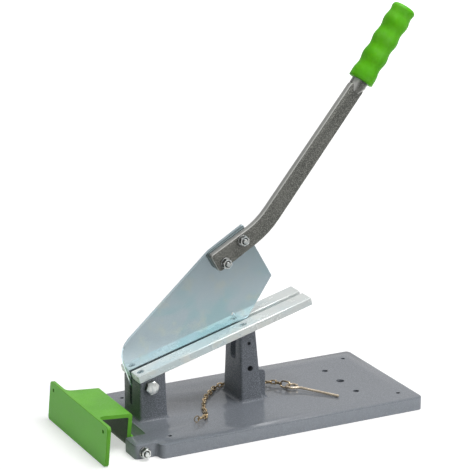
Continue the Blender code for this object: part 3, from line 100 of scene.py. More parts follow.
class Graph:
    """A thin helper that adds and links shader nodes.

    The MIX numbers are the places of the colour sockets on a Mix node.
    """

    MIX_FACTOR = 0
    MIX_FIRST = 6
    MIX_SECOND = 7
    MIX_RESULT = 2

    def __init__(self, tree: bpy.types.NodeTree) -> None:
        """Keep the node tree.

        Args:
            tree: the tree that the nodes go into.
        """
        self.tree = tree

    def add(self, kind: str, **settings: object) -> bpy.types.Node:
        """Add a node and set its properties.

        Args:
            kind: the node's type name without the ShaderNode prefix.
            settings: properties of the node by name.

        Returns:
            The new node.
        """
        node = self.tree.nodes.new("ShaderNode" + kind)
        for name, value in settings.items():
            setattr(node, name, value)
        return node

    def connect(self, socket: bpy.types.NodeSocket, value: object) -> None:
        """Set or link one input.

        Args:
            socket: the input.
            value: an output socket, a number, a vector or a colour without alpha.
        """
        if isinstance(value, bpy.types.NodeSocket):
            self.tree.links.new(value, socket)
        elif socket.type == "RGBA":
            socket.default_value = (*value, 1.0)
        else:
            socket.default_value = value

    def feed(self, node: bpy.types.Node, **inputs: object) -> None:
        """Set or link a node's inputs, whose spaces are written as underscores.

        Args:
            node: the node whose inputs are set.
            inputs: a value or an output socket for each input.
        """
        for name, value in inputs.items():
            self.connect(node.inputs[name.replace("_", " ")], value)

    def math(self, operation: str, *values: object) -> bpy.types.NodeSocket:
        """Add a Math node.

        Args:
            operation: the node's operation.
            values: numbers or sockets for its inputs, in order.

        Returns:
            Its output.
        """
        node = self.add("Math", operation=operation)
        for socket, value in zip(node.inputs, values):
            self.connect(socket, value)
        return node.outputs[0]

    def weighted(self, first: bpy.types.NodeSocket, share: float,
                 second: bpy.types.NodeSocket) -> bpy.types.NodeSocket:
        """Add two values in shares that make one.

        Args:
            first: the value that gets the share.
            share: its share.
            second: the value that gets the rest.

        Returns:
            The sum.
        """
        return self.math("ADD", self.math("MULTIPLY", first, share),
                         self.math("MULTIPLY", second, 1.0 - share))

    def remap(self, value: object, low: float, high: float, to_low: float = 0.0,
              to_high: float = 1.0) -> bpy.types.NodeSocket:
        """Map a value from one range to another, clamped and eased.

        Args:
            value: the value.
            low: start of its range.
            high: end of its range.
            to_low: what the start becomes.
            to_high: what the end becomes.

        Returns:
            The mapped value.
        """
        node = self.add("MapRange", interpolation_type="SMOOTHSTEP")
        self.feed(node, Value=value, From_Min=low, From_Max=high, To_Min=to_low,
                  To_Max=to_high)
        return node.outputs["Result"]

    def mix(self, factor: object, first: object, second: object) -> bpy.types.NodeSocket:
        """Mix two colours.

        Args:
            factor: the share of the second colour.
            first: a colour or a socket.
            second: a colour or a socket.

        Returns:
            The mixed colour.
        """
        node = self.add("Mix", data_type="RGBA")
        for index, value in ((self.MIX_FACTOR, factor), (self.MIX_FIRST, first),
                             (self.MIX_SECOND, second)):
            self.connect(node.inputs[index], value)
        return node.outputs[self.MIX_RESULT]

    def noise(self, vector: bpy.types.NodeSocket, scale: object, detail: float = 2.0,
              roughness: float = 0.5, distortion: float = 0.0) -> bpy.types.NodeSocket:
        """Add a 3D noise texture.

        Args:
            vector: the point that it is read at.
            scale: its scale.
            detail: its detail.
            roughness: how strong the fine detail is.
            distortion: how far it is bent.

        Returns:
            Its value.
        """
        node = self.add("TexNoise")
        self.feed(node, Vector=vector, Scale=scale, Detail=detail, Roughness=roughness,
                  Distortion=distortion)
        return node.outputs["Fac"]

    def position(self) -> bpy.types.NodeSocket:
        """Return the surface point in the piece's own space."""
        return self.add("TexCoord").outputs["Object"]

    def axes(self, coordinate: str) -> bpy.types.bpy_prop_collection:
        """Split a texture coordinate into X, Y and Z.

        Args:
            coordinate: Object for the surface point, Normal or Generated.

        Returns:
            The three outputs by name.
        """
        node = self.add("SeparateXYZ")
        self.feed(node, Vector=self.add("TexCoord").outputs[coordinate])
        return node.outputs

    def stretched(self, vector: bpy.types.NodeSocket, scale: Point) -> bpy.types.NodeSocket:
        """Scale a vector along each axis.

        Args:
            vector: the vector.
            scale: the scale along X, Y and Z.

        Returns:
            The scaled vector.
        """
        node = self.add("Mapping")
        self.feed(node, Vector=vector, Scale=scale)
        return node.outputs["Vector"]


@dataclass(frozen=True)
class SharedEffect:
    """Base of an effect that is built once as a shader node group."""

    name: str
    inputs: tuple[tuple[str, float], ...]
    outputs: tuple[str, ...]

    def group(self) -> bpy.types.NodeTree:
        """Find the node group, or build it at its first use.

        Returns:
            The node group.
        """
        found = bpy.data.node_groups.get(self.name)
        if found is not None:
            return found
        tree = bpy.data.node_groups.new(self.name, "ShaderNodeTree")
        for label, value in self.inputs:
            socket = tree.interface.new_socket(name=label, in_out="INPUT",
                                               socket_type="NodeSocketFloat")
            socket.default_value = value
        for label in self.outputs:
            tree.interface.new_socket(name=label, in_out="OUTPUT",
                                      socket_type="NodeSocketFloat")
        source = tree.nodes.new("NodeGroupInput")
        sink = tree.nodes.new("NodeGroupOutput")
        for label, socket in self.fill(Graph(tree), source.outputs).items():
            tree.links.new(socket, sink.inputs[label])
        return tree

    def fill(self, graph: Graph,
             source: bpy.types.bpy_prop_collection) -> dict[str, bpy.types.NodeSocket]:
        """Build the effect's nodes.

        Args:
            graph: the helper on the group's tree.
            source: the sockets of the group's inputs.

        Returns:
            A socket for each output's name.
        """
        raise NotImplementedError

    def place(self, graph: Graph, **values: float) -> bpy.types.bpy_prop_collection:
        """Place the group in a material with its own values.

        Args:
            graph: the helper on the material's tree.
            values: the group's inputs by name.

        Returns:
            The group's outputs by name.
        """
        node = graph.add("Group")
        node.node_tree = self.group()
        graph.feed(node, **values)
        return node.outputs


@dataclass(frozen=True)
class HammerTexture(SharedEffect):
    """Dimples and dark pores of hammered enamel."""

    DIMPLE_SOFTNESS = 0.55
    DIMPLE_SPREAD = 0.95
    DIMPLE_EDGE = (0.12, 0.62)
    DIMPLE_TONE_SHARE = 0.55
    DIMPLE_HEIGHT_SHARE = 0.7
    PORE_EDGE = (0.40, 0.62)
    BROAD_SCALE = 26.0

    def fill(self, graph: Graph,
             source: bpy.types.bpy_prop_collection) -> dict[str, bpy.types.NodeSocket]:
        """Build dimples from cells and pores from fine noise.

        Args:
            graph: the helper on the group's tree.
            source: the scales Cells and Pores.

        Returns:
            Tone and Height of the dimples, and a Broad cloud.
        """
        place = graph.position()
        cells = graph.add("TexVoronoi", feature="SMOOTH_F1", distance="EUCLIDEAN")
        graph.feed(cells, Vector=place, Scale=source["Cells"],
                   Smoothness=self.DIMPLE_SOFTNESS, Randomness=self.DIMPLE_SPREAD)
        dimple = graph.remap(cells.outputs["Distance"], *self.DIMPLE_EDGE)
        pores = graph.noise(place, source["Pores"], detail=3.0, roughness=0.62)
        pore = graph.remap(pores, *self.PORE_EDGE)
        return {"Tone": graph.weighted(dimple, self.DIMPLE_TONE_SHARE, pore),
                "Broad": graph.noise(place, self.BROAD_SCALE),
                "Height": graph.weighted(dimple, self.DIMPLE_HEIGHT_SHARE, pore)}


@dataclass(frozen=True)
class ZincTexture(SharedEffect):
    """Cloudy spangle and fine rolling lines of bright zinc plate."""

    LINE_STRETCH = (60.0, 400.0, 1500.0)
    SPOT_SCALE = 900.0
    SPOT_EDGE = (0.62, 0.74)

    def fill(self, graph: Graph,
             source: bpy.types.bpy_prop_collection) -> dict[str, bpy.types.NodeSocket]:
        """Build clouds, a slow tint, rolling lines and dark spots.

        Args:
            graph: the helper on the group's tree.
            source: the scales Clouds and Tints.

        Returns:
            Cloud, Tint, Line and Spots.
        """
        place = graph.position()
        lines = graph.stretched(place, self.LINE_STRETCH)
        spots = graph.noise(place, self.SPOT_SCALE, roughness=0.6)
        return {"Cloud": graph.noise(place, source["Clouds"], detail=5.0, roughness=0.62),
                "Tint": graph.noise(place, source["Tints"], distortion=0.6),
                "Line": graph.noise(lines, scale=1.0, detail=3.0, roughness=0.6),
                "Spots": graph.remap(spots, *self.SPOT_EDGE)}


@dataclass(frozen=True)
class DustTexture(SharedEffect):
    """Handling dust and rubbed patches on paint and plastic."""

    PATCH_SCALE = 34.0
    PATCH_EDGE = (0.45, 0.75)
    SPECK_SCALE = 1400.0
    SPECK_EDGE = (0.66, 0.76)

    def fill(self, graph: Graph,
             source: bpy.types.bpy_prop_collection) -> dict[str, bpy.types.NodeSocket]:
        """Build soft patches and small specks.

        Args:
            graph: the helper on the group's tree.
            source: the Amount of both.

        Returns:
            Patch and Speck.
        """
        place = graph.position()
        patches = graph.noise(place, self.PATCH_SCALE, detail=4.0, roughness=0.65)
        patch = graph.remap(patches, *self.PATCH_EDGE)
        speck = graph.remap(graph.noise(place, self.SPECK_SCALE), *self.SPECK_EDGE)
        return {"Patch": graph.math("MULTIPLY", patch, source["Amount"]),
                "Speck": graph.math("MULTIPLY", speck, source["Amount"])}


HAMMER = HammerTexture("hammered_enamel", (("Cells", 420.0), ("Pores", 1500.0)),
                       ("Tone", "Broad", "Height"))
ZINC = ZincTexture("zinc_spangle", (("Clouds", 30.0), ("Tints", 9.0)),
                   ("Cloud", "Tint", "Line", "Spots"))
DUST = DustTexture("handling_dust", (("Amount", 1.0),), ("Patch", "Speck"))


@dataclass(frozen=True)
class Finish:
    """Base of a finish, which builds one Principled material."""

    name: str
    roughness: float

    def material(self) -> bpy.types.Material:
        """Find the finish's material, or build it at its first use.

        Returns:
            The material.
        """
        found = bpy.data.materials.get(self.name)
        if found is not None:
            return found
        material = bpy.data.materials.new(self.name)
        material.use_nodes = True
        shader = material.node_tree.nodes["Principled BSDF"]
        self.dress(Graph(material.node_tree), shader)
        return material

    def dress(self, graph: Graph, shader: bpy.types.Node) -> None:
        """Feed the shader.

        Args:
            graph: the helper on the material's tree.
            shader: the Principled node.
        """
        raise NotImplementedError

    def gloss(self, graph: Graph, value: bpy.types.NodeSocket, span: Span, glossier: float,
              duller: float) -> bpy.types.NodeSocket:
        """Vary the roughness about the finish's own.

        Args:
            graph: the helper on the material's tree.
            value: the value that it follows.
            span: the range of that value.
            glossier: how far the roughness falls at the range's start.
            duller: how far it rises at the range's end.

        Returns:
            The roughness.
        """
        return graph.remap(value, *span, self.roughness - glossier, self.roughness + duller)

    @staticmethod
    def bump(graph: Graph, shader: bpy.types.Node, height: bpy.types.NodeSocket,
             depth: float, strength: float) -> None:
        """Feed a height into the shader's normal.

        Args:
            graph: the helper on the material's tree.
            shader: the Principled node.
            height: the height, from 0 to 1.
            depth: the real depth that a height of 1 stands for.
            strength: how strongly it shows.
        """
        bump = graph.add("Bump")
        graph.feed(bump, Distance=depth, Strength=strength, Height=height)
        graph.feed(shader, Normal=bump.outputs["Normal"])


@dataclass(frozen=True)
class HammeredEnamel(Finish):
    """Grey hammered enamel over a casting or a forging.

    Faces that look up lie smoother and glossier by top_gloss, and get a painted light,
    paler by painted_top_light. Rounded edges between a side and the next get a painted
    highlight, paler by painted_edge_highlight. The rim of a plate below rim_height carries pale
    dust by rim_dust.
    """

    light: Colour
    dark: Colour
    cells: float
    metallic: float
    depth: float
    top_gloss: float = 0.0
    top_from: float = 0.75
    painted_top_light: float = 0.0
    painted_edge_highlight: float = 0.0
    rim_dust: float = 0.0
    rim_height: float = 17 * MM

    PORES_PER_CELL = 3.1
    TONE_SPAN = (0.15, 0.85)
    MIDDLE_TONE = 0.5
    CLOUD_SPAN = (0.3, 0.7)
    CLOUD_COVER = 0.28
    CLOUD_KEEPS = 0.72
    SPECKS = 0.35
    TOP_FADE = 0.2
    TOP_CALM = 0.6
    RIM_FADE = 3 * MM
    HIGHLIGHT_BEGINS = (0.10, 0.40)
    HIGHLIGHT_ENDS = (0.72, 0.94)
    SPECK_GREY = (0.62, 0.63, 0.64)
    RIM_GREY = (0.50, 0.54, 0.59)
    PAINTED_TOP_LIGHT_GREY = (0.60, 0.61, 0.60)
    PAINTED_HIGHLIGHT_GREY = (0.74, 0.74, 0.71)

    def dress(self, graph: Graph, shader: bpy.types.Node) -> None:
        """Paint the surface, add dust, painted light and painted highlights, and dimple it.

        Args:
            graph: the helper on the material's tree.
            shader: the Principled node.
        """
        hammer = HAMMER.place(graph, Cells=self.cells, Pores=self.cells * self.PORES_PER_CELL)
        normal = graph.axes("Normal")
        upward = graph.remap(normal["Z"], self.top_from, self.top_from + self.TOP_FADE)
        colour = self.dust_and_painted_light(graph, self.painted(graph, hammer, upward), normal["Y"], upward)
        graph.feed(shader, Base_Color=colour, Metallic=self.metallic,
                   Roughness=self.gloss(graph, hammer["Tone"], (0.0, 1.0), glossier=0.07,
                                        duller=0.14),
                   Specular_IOR_Level=0.30, Coat_Roughness=0.12)
        if self.top_gloss:
            graph.feed(shader, Coat_Weight=graph.math("MULTIPLY", upward, self.top_gloss))
        self.bump(graph, shader, hammer["Height"], self.depth, strength=0.75)

    def painted(self, graph: Graph, hammer: bpy.types.bpy_prop_collection,
                upward: bpy.types.NodeSocket) -> bpy.types.NodeSocket:
        """Mix the light and the dark grey by the dimples, with clouds and specks.

        Args:
            graph: the helper on the material's tree.
            hammer: the outputs of the hammered effect.
            upward: how far the surface looks up.

        Returns:
            The colour.
        """
        tone = graph.remap(hammer["Tone"], *self.TONE_SPAN)
        if self.top_gloss:
            calm = graph.math("MULTIPLY", upward, self.TOP_CALM)
            to_middle = graph.math("SUBTRACT", self.MIDDLE_TONE, tone)
            tone = graph.math("MULTIPLY_ADD", to_middle, calm, tone)
        colour = graph.mix(tone, self.light, self.dark)
        cloud = graph.remap(hammer["Broad"], *self.CLOUD_SPAN, to_high=self.CLOUD_COVER)
        colour = graph.mix(cloud, colour, darker(self.light, self.CLOUD_KEEPS))
        speck = DUST.place(graph, Amount=self.SPECKS)["Speck"]
        return graph.mix(speck, colour, self.SPECK_GREY)

    def dust_and_painted_light(self, graph: Graph, colour: bpy.types.NodeSocket,
                  sideways: bpy.types.NodeSocket,
                  upward: bpy.types.NodeSocket) -> bpy.types.NodeSocket:
        """Add dust on the rim, a painted light on the top faces and painted highlights on the
        rounded edges.

        Args:
            graph: the helper on the material's tree.
            colour: the paint's colour.
            sideways: the normal's share along Y.
            upward: how far the surface looks up.

        Returns:
            The colour.
        """
        if self.rim_dust:
            low = graph.remap(graph.axes("Object")["Z"], self.rim_height,
                              self.rim_height + self.RIM_FADE, to_low=self.rim_dust,
                              to_high=0.0)
            upright = graph.math("SUBTRACT", 1.0, upward)
            colour = graph.mix(graph.math("MULTIPLY", low, upright), colour, self.RIM_GREY)
        # Painted light: faces that look up are paler.
        if self.painted_top_light:
            colour = graph.mix(graph.math("MULTIPLY", upward, self.painted_top_light), colour,
                               self.PAINTED_TOP_LIGHT_GREY)
        # Painted highlight: rounded edges between the sides are paler.
        if self.painted_edge_highlight:
            side = graph.math("ABSOLUTE", sideways)
            begun = graph.remap(side, *self.HIGHLIGHT_BEGINS)
            ended = graph.remap(side, *self.HIGHLIGHT_ENDS, to_low=self.painted_edge_highlight, to_high=0.0)
            colour = graph.mix(graph.math("MULTIPLY", begun, ended), colour, self.PAINTED_HIGHLIGHT_GREY)
        return colour


@dataclass(frozen=True)
class ZincPlate(Finish):
    """Bright zinc plate with a slow colour play.

    The sides of a turned fastener, which look away from its axis along Y, get a painted
    shade, darker than its turned faces by side_shade. The walls of a slot across Y,
    painted_slot_shade with its middle and half width, get a painted shade until the blade's
    reach ends between the two places of slot_shade_end along X. A plate gets a painted shade
    towards its upper end, darker between the two heights of painted_upper_shade.
    """

    base: Colour
    cool: Colour
    warm: Colour
    clouds: float
    line_depth: float
    metallic: float = 1.0
    side_shade: float = 0.0
    painted_slot_shade: Span | None = None
    slot_shade_end: Span = (-40 * MM, -12 * MM)
    painted_upper_shade: Span | None = None

    TINTS_PER_CLOUD = 0.4
    TINT_SPAN = (0.42, 0.62)
    CLOUD_SPAN = (0.50, 0.68)
    CLOUD_COVER = 0.6
    CLOUD_GLOSS_SPAN = (0.3, 0.75)
    SPOT_COVER = 0.25
    SPOT_KEEPS = 0.55
    UPPER_SHADE_COVER = 0.9
    UPPER_SHADE_KEEPS = 0.58
    SIDE_SPAN = (0.55, 0.90)
    SIDE_KEEPS = 0.10
    SLOT_SHADE = (0.015, 0.018, 0.020)
    SLOT_SHADE_COVER = 0.95
    SLOT_SHADE_FADE = 0.7 * MM

    def dress(self, graph: Graph, shader: bpy.types.Node) -> None:
        """Play between the tints, with clouds in the gloss and fine rolling lines.

        Args:
            graph: the helper on the material's tree.
            shader: the Principled node.
        """
        zinc = ZINC.place(graph, Clouds=self.clouds, Tints=self.clouds * self.TINTS_PER_CLOUD)
        tint = graph.remap(zinc["Tint"], *self.TINT_SPAN)
        cloud = graph.remap(zinc["Cloud"], *self.CLOUD_SPAN, to_high=self.CLOUD_COVER)
        spots = graph.math("MULTIPLY", zinc["Spots"], self.SPOT_COVER)
        colour = graph.mix(tint, self.base, self.cool)
        colour = graph.mix(cloud, colour, self.warm)
        colour = graph.mix(spots, colour, darker(self.base, self.SPOT_KEEPS))
        graph.feed(shader, Base_Color=self.painted_shades(graph, colour), Metallic=self.metallic,
                   Roughness=self.gloss(graph, zinc["Cloud"], self.CLOUD_GLOSS_SPAN,
                                        glossier=0.05, duller=0.10))
        self.bump(graph, shader, zinc["Line"], self.line_depth, strength=0.35)

    def painted_shades(self, graph: Graph, colour: bpy.types.NodeSocket) -> bpy.types.NodeSocket:
        """Add the painted shades that the finish has: on the upper end, on the sides and in the
        slot.

        Args:
            graph: the helper on the material's tree.
            colour: the clean plate's colour.

        Returns:
            The colour.
        """
        # Painted shade: the plate darkens towards its upper end.
        if self.painted_upper_shade:
            upper_shade = graph.remap(graph.axes("Object")["Z"], *self.painted_upper_shade,
                               to_high=self.UPPER_SHADE_COVER)
            colour = graph.mix(upper_shade, colour, darker(self.base, self.UPPER_SHADE_KEEPS))
        # Painted shade on the sides of a turned fastener.
        if self.side_shade:
            turned = graph.math("ABSOLUTE", graph.axes("Normal")["Y"])
            shade = graph.remap(turned, *self.SIDE_SPAN, to_low=self.side_shade, to_high=0.0)
            colour = graph.mix(shade, colour, darker(self.base, self.SIDE_KEEPS))
        # Painted shade on the walls of the slot.
        if self.painted_slot_shade:
            middle, half = self.painted_slot_shade
            place = graph.axes("Object")
            away = graph.math("ABSOLUTE", graph.math("SUBTRACT", place["Y"], middle))
            wall = graph.remap(away, half, half + self.SLOT_SHADE_FADE,
                               to_low=self.SLOT_SHADE_COVER, to_high=0.0)
            reached = graph.remap(place["X"], *self.slot_shade_end, to_low=1.0, to_high=0.0)
            colour = graph.mix(graph.math("MULTIPLY", wall, reached), colour, self.SLOT_SHADE)
        return colour


@dataclass(frozen=True)
class GripPlastic(Finish):
    """Soft green plastic with a fine moulded grain."""

    colour: Colour
    deep: Colour

    GRAIN_SCALE = 2600.0
    GRAIN_SPAN = (0.3, 0.7)
    GRAIN_DEPTH = 0.06 * MM
    BROAD_SCALE = 40.0
    BROAD_SPAN = (0.35, 0.7)
    RUBBED = (0.55, 0.75, 0.35)
    RUBBED_COVER = 0.08

    def dress(self, graph: Graph, shader: bpy.types.Node) -> None:
        """Shade the colour softly and add grain and rubbed patches.

        Args:
            graph: the helper on the material's tree.
            shader: the Principled node.
        """
        place = graph.position()
        grain = graph.noise(place, self.GRAIN_SCALE, roughness=0.6)
        clouds = graph.noise(place, self.BROAD_SCALE, detail=3.0)
        colour = graph.mix(graph.remap(clouds, *self.BROAD_SPAN), self.colour, self.deep)
        patch = DUST.place(graph, Amount=self.RUBBED_COVER)["Patch"]
        colour = graph.mix(patch, colour, self.RUBBED)
        graph.feed(shader, Base_Color=colour,
                   Roughness=self.gloss(graph, grain, self.GRAIN_SPAN, glossier=0.06,
                                        duller=0.08),
                   Specular_IOR_Level=0.22, Subsurface_Weight=0.05, Subsurface_Scale=2 * MM)
        self.bump(graph, shader, grain, self.GRAIN_DEPTH, strength=0.5)


@dataclass(frozen=True)
class PowderPaint(Finish):
    """Green powder paint on bent sheet, with a light orange peel.

    The outer face at -X gets a painted light, and the channel behind it, which starts at
    channel_from along X, gets a painted shade.
    """

    colour: Colour
    deep: Colour
    painted_light_face: Colour
    channel_from: float

    PEEL_SCALE = 520.0
    PEEL_SPAN = (0.3, 0.7)
    PEEL_DEPTH = 0.12 * MM
    BROAD_SCALE = 22.0
    BROAD_SPAN = (0.35, 0.68)
    DUSTY = (0.30, 0.50, 0.22)
    DUST_COVER = 0.08
    SPECK_COVER = 0.22
    SPECK_KEEPS = 0.5
    OUTWARD = (-0.90, -0.60)
    CHANNEL_FADE = 6 * MM
    CHANNEL_SHADE_COVER = 0.96
    CHANNEL_SHADE_KEEPS = 0.12

    def dress(self, graph: Graph, shader: bpy.types.Node) -> None:
        """Paint the sheet, add painted light and painted shade, and give it its orange peel.

        Args:
            graph: the helper on the material's tree.
            shader: the Principled node.
        """
        place = graph.position()
        peel = graph.noise(place, self.PEEL_SCALE, roughness=0.45)
        colour = self.painted_light_and_shade(graph, self.painted(graph, place))
        graph.feed(shader, Base_Color=colour, Specular_IOR_Level=0.32,
                   Roughness=self.gloss(graph, peel, self.PEEL_SPAN, glossier=0.05,
                                        duller=0.07))
        self.bump(graph, shader, peel, self.PEEL_DEPTH, strength=0.45)

    def painted(self, graph: Graph, place: bpy.types.NodeSocket) -> bpy.types.NodeSocket:
        """Shade the colour softly and add dust and specks.

        Args:
            graph: the helper on the material's tree.
            place: the surface point.

        Returns:
            The colour.
        """
        clouds = graph.noise(place, self.BROAD_SCALE, detail=3.0)
        colour = graph.mix(graph.remap(clouds, *self.BROAD_SPAN), self.colour, self.deep)
        dust = DUST.place(graph, Amount=1.0)
        patch = graph.math("MULTIPLY", dust["Patch"], self.DUST_COVER)
        speck = graph.math("MULTIPLY", dust["Speck"], self.SPECK_COVER)
        colour = graph.mix(patch, colour, self.DUSTY)
        return graph.mix(speck, colour, darker(self.deep, self.SPECK_KEEPS))

    def painted_light_and_shade(self, graph: Graph, colour: bpy.types.NodeSocket) -> bpy.types.NodeSocket:
        """Paint light on the outer face and shade in the channel behind it.

        Args:
            graph: the helper on the material's tree.
            colour: the paint's colour.

        Returns:
            The colour.
        """
        outward = graph.remap(graph.axes("Normal")["X"], *self.OUTWARD, to_low=1.0,
                              to_high=0.0)
        within = graph.remap(graph.axes("Object")["X"], self.channel_from,
                             self.channel_from + self.CHANNEL_FADE)
        # Painted light on the outer face, in front of the channel.
        painted_light_mask = graph.math("MULTIPLY", outward, graph.math("SUBTRACT", 1.0, within))
        colour = graph.mix(painted_light_mask, colour, self.painted_light_face)
        # Painted shade in the channel behind the outer face.
        painted_shade_mask = graph.math("MULTIPLY", outward, within)
        return graph.mix(graph.math("MULTIPLY", painted_shade_mask, self.CHANNEL_SHADE_COVER), colour,
                         darker(self.deep, self.CHANNEL_SHADE_KEEPS))


BASE_ENAMEL = HammeredEnamel(
    "base_enamel", roughness=0.42, light=(0.268, 0.290, 0.325),
    dark=(0.120, 0.134, 0.156), cells=600.0, metallic=0.04, depth=0.12 * MM,
    top_gloss=0.95, rim_dust=0.42)
# A lighter enamel for the bevelled edges of the base, a painted highlight.
BASE_EDGE_HIGHLIGHT = HammeredEnamel(
    "base_painted_edge_highlight", roughness=0.40, light=(0.480, 0.510, 0.550),
    dark=(0.240, 0.260, 0.290), cells=800.0, metallic=0.04, depth=0.12 * MM)
# The arm's top faces get a painted light and its rounded edges a painted highlight.
ARM_ENAMEL = HammeredEnamel(
    "arm_enamel", roughness=0.36, light=(0.350, 0.352, 0.318),
    dark=(0.092, 0.095, 0.085), cells=540.0, metallic=0.16, depth=0.20 * MM,
    top_gloss=0.5, top_from=0.28, painted_top_light=0.32, painted_edge_highlight=1.0)
# The walls of the rails' slot get a painted shade.
RAIL_ZINC = ZincPlate(
    "rail_zinc", roughness=0.24, base=(0.850, 0.890, 0.875), cool=(0.730, 0.850, 0.870),
    warm=(0.860, 0.870, 0.800), clouds=26.0, line_depth=0.010 * MM, metallic=0.20,
    painted_slot_shade=(13.5 * MM, 5.4 * MM))
# The blade's upper end gets a painted shade.
BLADE_ZINC = ZincPlate(
    "blade_zinc", roughness=0.10, base=(0.715, 0.865, 0.930), cool=(0.595, 0.845, 0.895),
    warm=(0.810, 0.890, 0.790), clouds=34.0, line_depth=0.006 * MM, metallic=0.85,
    painted_upper_shade=(150 * MM, 260 * MM))
SCREW_ZINC = ZincPlate(
    "screw_zinc", roughness=0.26, base=(0.620, 0.660, 0.660), cool=(0.460, 0.520, 0.540),
    warm=(0.640, 0.640, 0.580), clouds=160.0, line_depth=0.012 * MM)
# The sides of the fasteners get a painted shade.
FASTENER_ZINC = ZincPlate(
    "fastener_zinc", roughness=0.20, base=(0.840, 0.860, 0.840), cool=(0.560, 0.620, 0.620),
    warm=(0.900, 0.880, 0.800), clouds=240.0, line_depth=0.012 * MM, metallic=0.6,
    side_shade=0.96)
YELLOW_ZINC = ZincPlate(
    "yellow_zinc", roughness=0.18, base=(0.620, 0.470, 0.280), cool=(0.200, 0.150, 0.090),
    warm=(0.900, 0.760, 0.540), clouds=300.0, line_depth=0.012 * MM, metallic=0.8)
PIN_ZINC = ZincPlate(
    "pin_zinc", roughness=0.22, base=(0.740, 0.630, 0.480), cool=(0.620, 0.520, 0.400),
    warm=(0.820, 0.720, 0.560), clouds=90.0, line_depth=0.012 * MM, metallic=0.7)
GRIP_GREEN = GripPlastic(
    "grip_green", roughness=0.50, colour=(0.125, 0.550, 0.005), deep=(0.098, 0.470, 0.004))
# The bracket's outer face gets a painted light and its channel a painted shade.
BRACKET_GREEN = PowderPaint(
    "bracket_green", roughness=0.46, colour=(0.155, 0.490, 0.036),
    deep=(0.125, 0.420, 0.028), painted_light_face=(0.250, 0.860, 0.082), channel_from=-272 * MM)


class Workshop:
    """Makes pieces, gives them a finish and sets them on a body."""

    BEVEL_SEGMENTS = 2

    def __init__(self, nodes: dict[str, bpy.types.Object]) -> None:
        """Keep the CAD nodes.

        Args:
            nodes: the frame's nodes by name.
        """
        self.nodes = nodes

    def place(self, piece: bpy.types.Object, finish: Finish, slot: Slot, body: Body,
              *replaced: str) -> bpy.types.Object:
        """Give a piece its finish and body, and hide the nodes that it stands for.

        Args:
            piece: the object.
            finish: its finish.
            slot: its material slot in the record; not used.
            body: the body that it rides on.
            replaced: names of the CAD nodes that it replaces.

        Returns:
            The same object.
        """
        piece.data.materials.clear()
        piece.data.materials.append(finish.material())
        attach(piece, body.value)
        if replaced:
            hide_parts(*replaced)
        LOG.info("piece %s rides on %s and replaces %s", piece.name, body.value, replaced)
        return piece

    def smooth_copy(self, node: str, bevel: float = 0.0,
                    sharp: float = PIECE_SHARP) -> bpy.types.Object:
        """Make a welded, smooth copy of a CAD node.

        Args:
            node: the CAD node's name.
            bevel: width of a small bevel on the sharp edges, or 0.
            sharp: the angle in degrees above which an edge stays sharp.

        Returns:
            The new object.
        """
        mesh = self.nodes[node].data.copy()
        mesh.name = node + "_dressed"
        builder = bmesh.new()
        builder.from_mesh(mesh)
        bmesh.ops.remove_doubles(builder, verts=builder.verts, dist=WELD_DISTANCE)
        bmesh.ops.dissolve_limit(builder, angle_limit=FLAT_ANGLE, verts=builder.verts,
                                 edges=builder.edges)
        builder.to_mesh(mesh)
        builder.free()
        if "custom_normal" in mesh.attributes:
            mesh.attributes.remove(mesh.attributes["custom_normal"])
        piece = bpy.data.objects.new(node + "_dressed", mesh)
        bpy.context.scene.collection.objects.link(piece)
        mesh.shade_smooth()
        mesh.set_sharp_from_angle(angle=math.radians(sharp))
        if bevel:
            modifier = piece.modifiers.new("edge_break", "BEVEL")
            modifier.width = bevel
            modifier.segments = self.BEVEL_SEGMENTS
            modifier.limit_method = "ANGLE"
            modifier.angle_limit = math.radians(sharp)
            modifier.harden_normals = False
        return piece

    def dress(self, node: str, finish: Finish, slot: Slot, body: Body, bevel: float = 0.0,
              sharp: float = PIECE_SHARP) -> bpy.types.Object:
        """Put a smooth copy with a finish in the place of a CAD node.

        Args:
            node: the CAD node's name.
            finish: the copy's finish.
            slot: its material slot in the record.
            body: the body that it rides on.
            bevel: width of a small bevel on its sharp edges, or 0.
            sharp: the angle in degrees above which an edge stays sharp.

        Returns:
            The new object.
        """
        return self.place(self.smooth_copy(node, bevel, sharp), finish, slot, body, node)


def finished_object(name: str, builder: bmesh.types.BMesh, sharp: float) -> bpy.types.Object:
    """Turn a finished bmesh into a smooth object in the scene.

    Args:
        name: the name of the object and its mesh.
        builder: the bmesh, which is freed.
        sharp: the angle in degrees above which an edge stays sharp.

    Returns:
        The new object.
    """
    mesh = bpy.data.meshes.new(name)
    builder.to_mesh(mesh)
    builder.free()
    mesh.shade_smooth()
    mesh.set_sharp_from_angle(angle=math.radians(sharp))
    piece = bpy.data.objects.new(name, mesh)
    bpy.context.scene.collection.objects.link(piece)
    return piece


def loft(name: str, rings: Sequence[Sequence[Vector]], closed: bool = False) -> bpy.types.Object:
    """Join rings of equal count into a closed mesh.

    Args:
        name: the object's name.
        rings: the rings, each a loop of points.
        closed: whether the last ring joins the first, as round a nut.

    Returns:
        The new object, with its faces turned outwards.
    """
    builder = bmesh.new()
    loops = [[builder.verts.new(point) for point in ring] for ring in rings]
    count = len(rings[0])
    pairs = list(zip(loops, loops[1:]))
    if closed:
        pairs.append((loops[-1], loops[0]))
    for lower, upper in pairs:
        for index in range(count):
            after = (index + 1) % count
            builder.faces.new((lower[index], lower[after], upper[after], upper[index]))
    if not closed:
        builder.faces.new(loops[0])
        builder.faces.new(loops[-1])
    bmesh.ops.recalc_face_normals(builder, faces=builder.faces)
    return finished_object(name, builder, PIECE_SHARP)


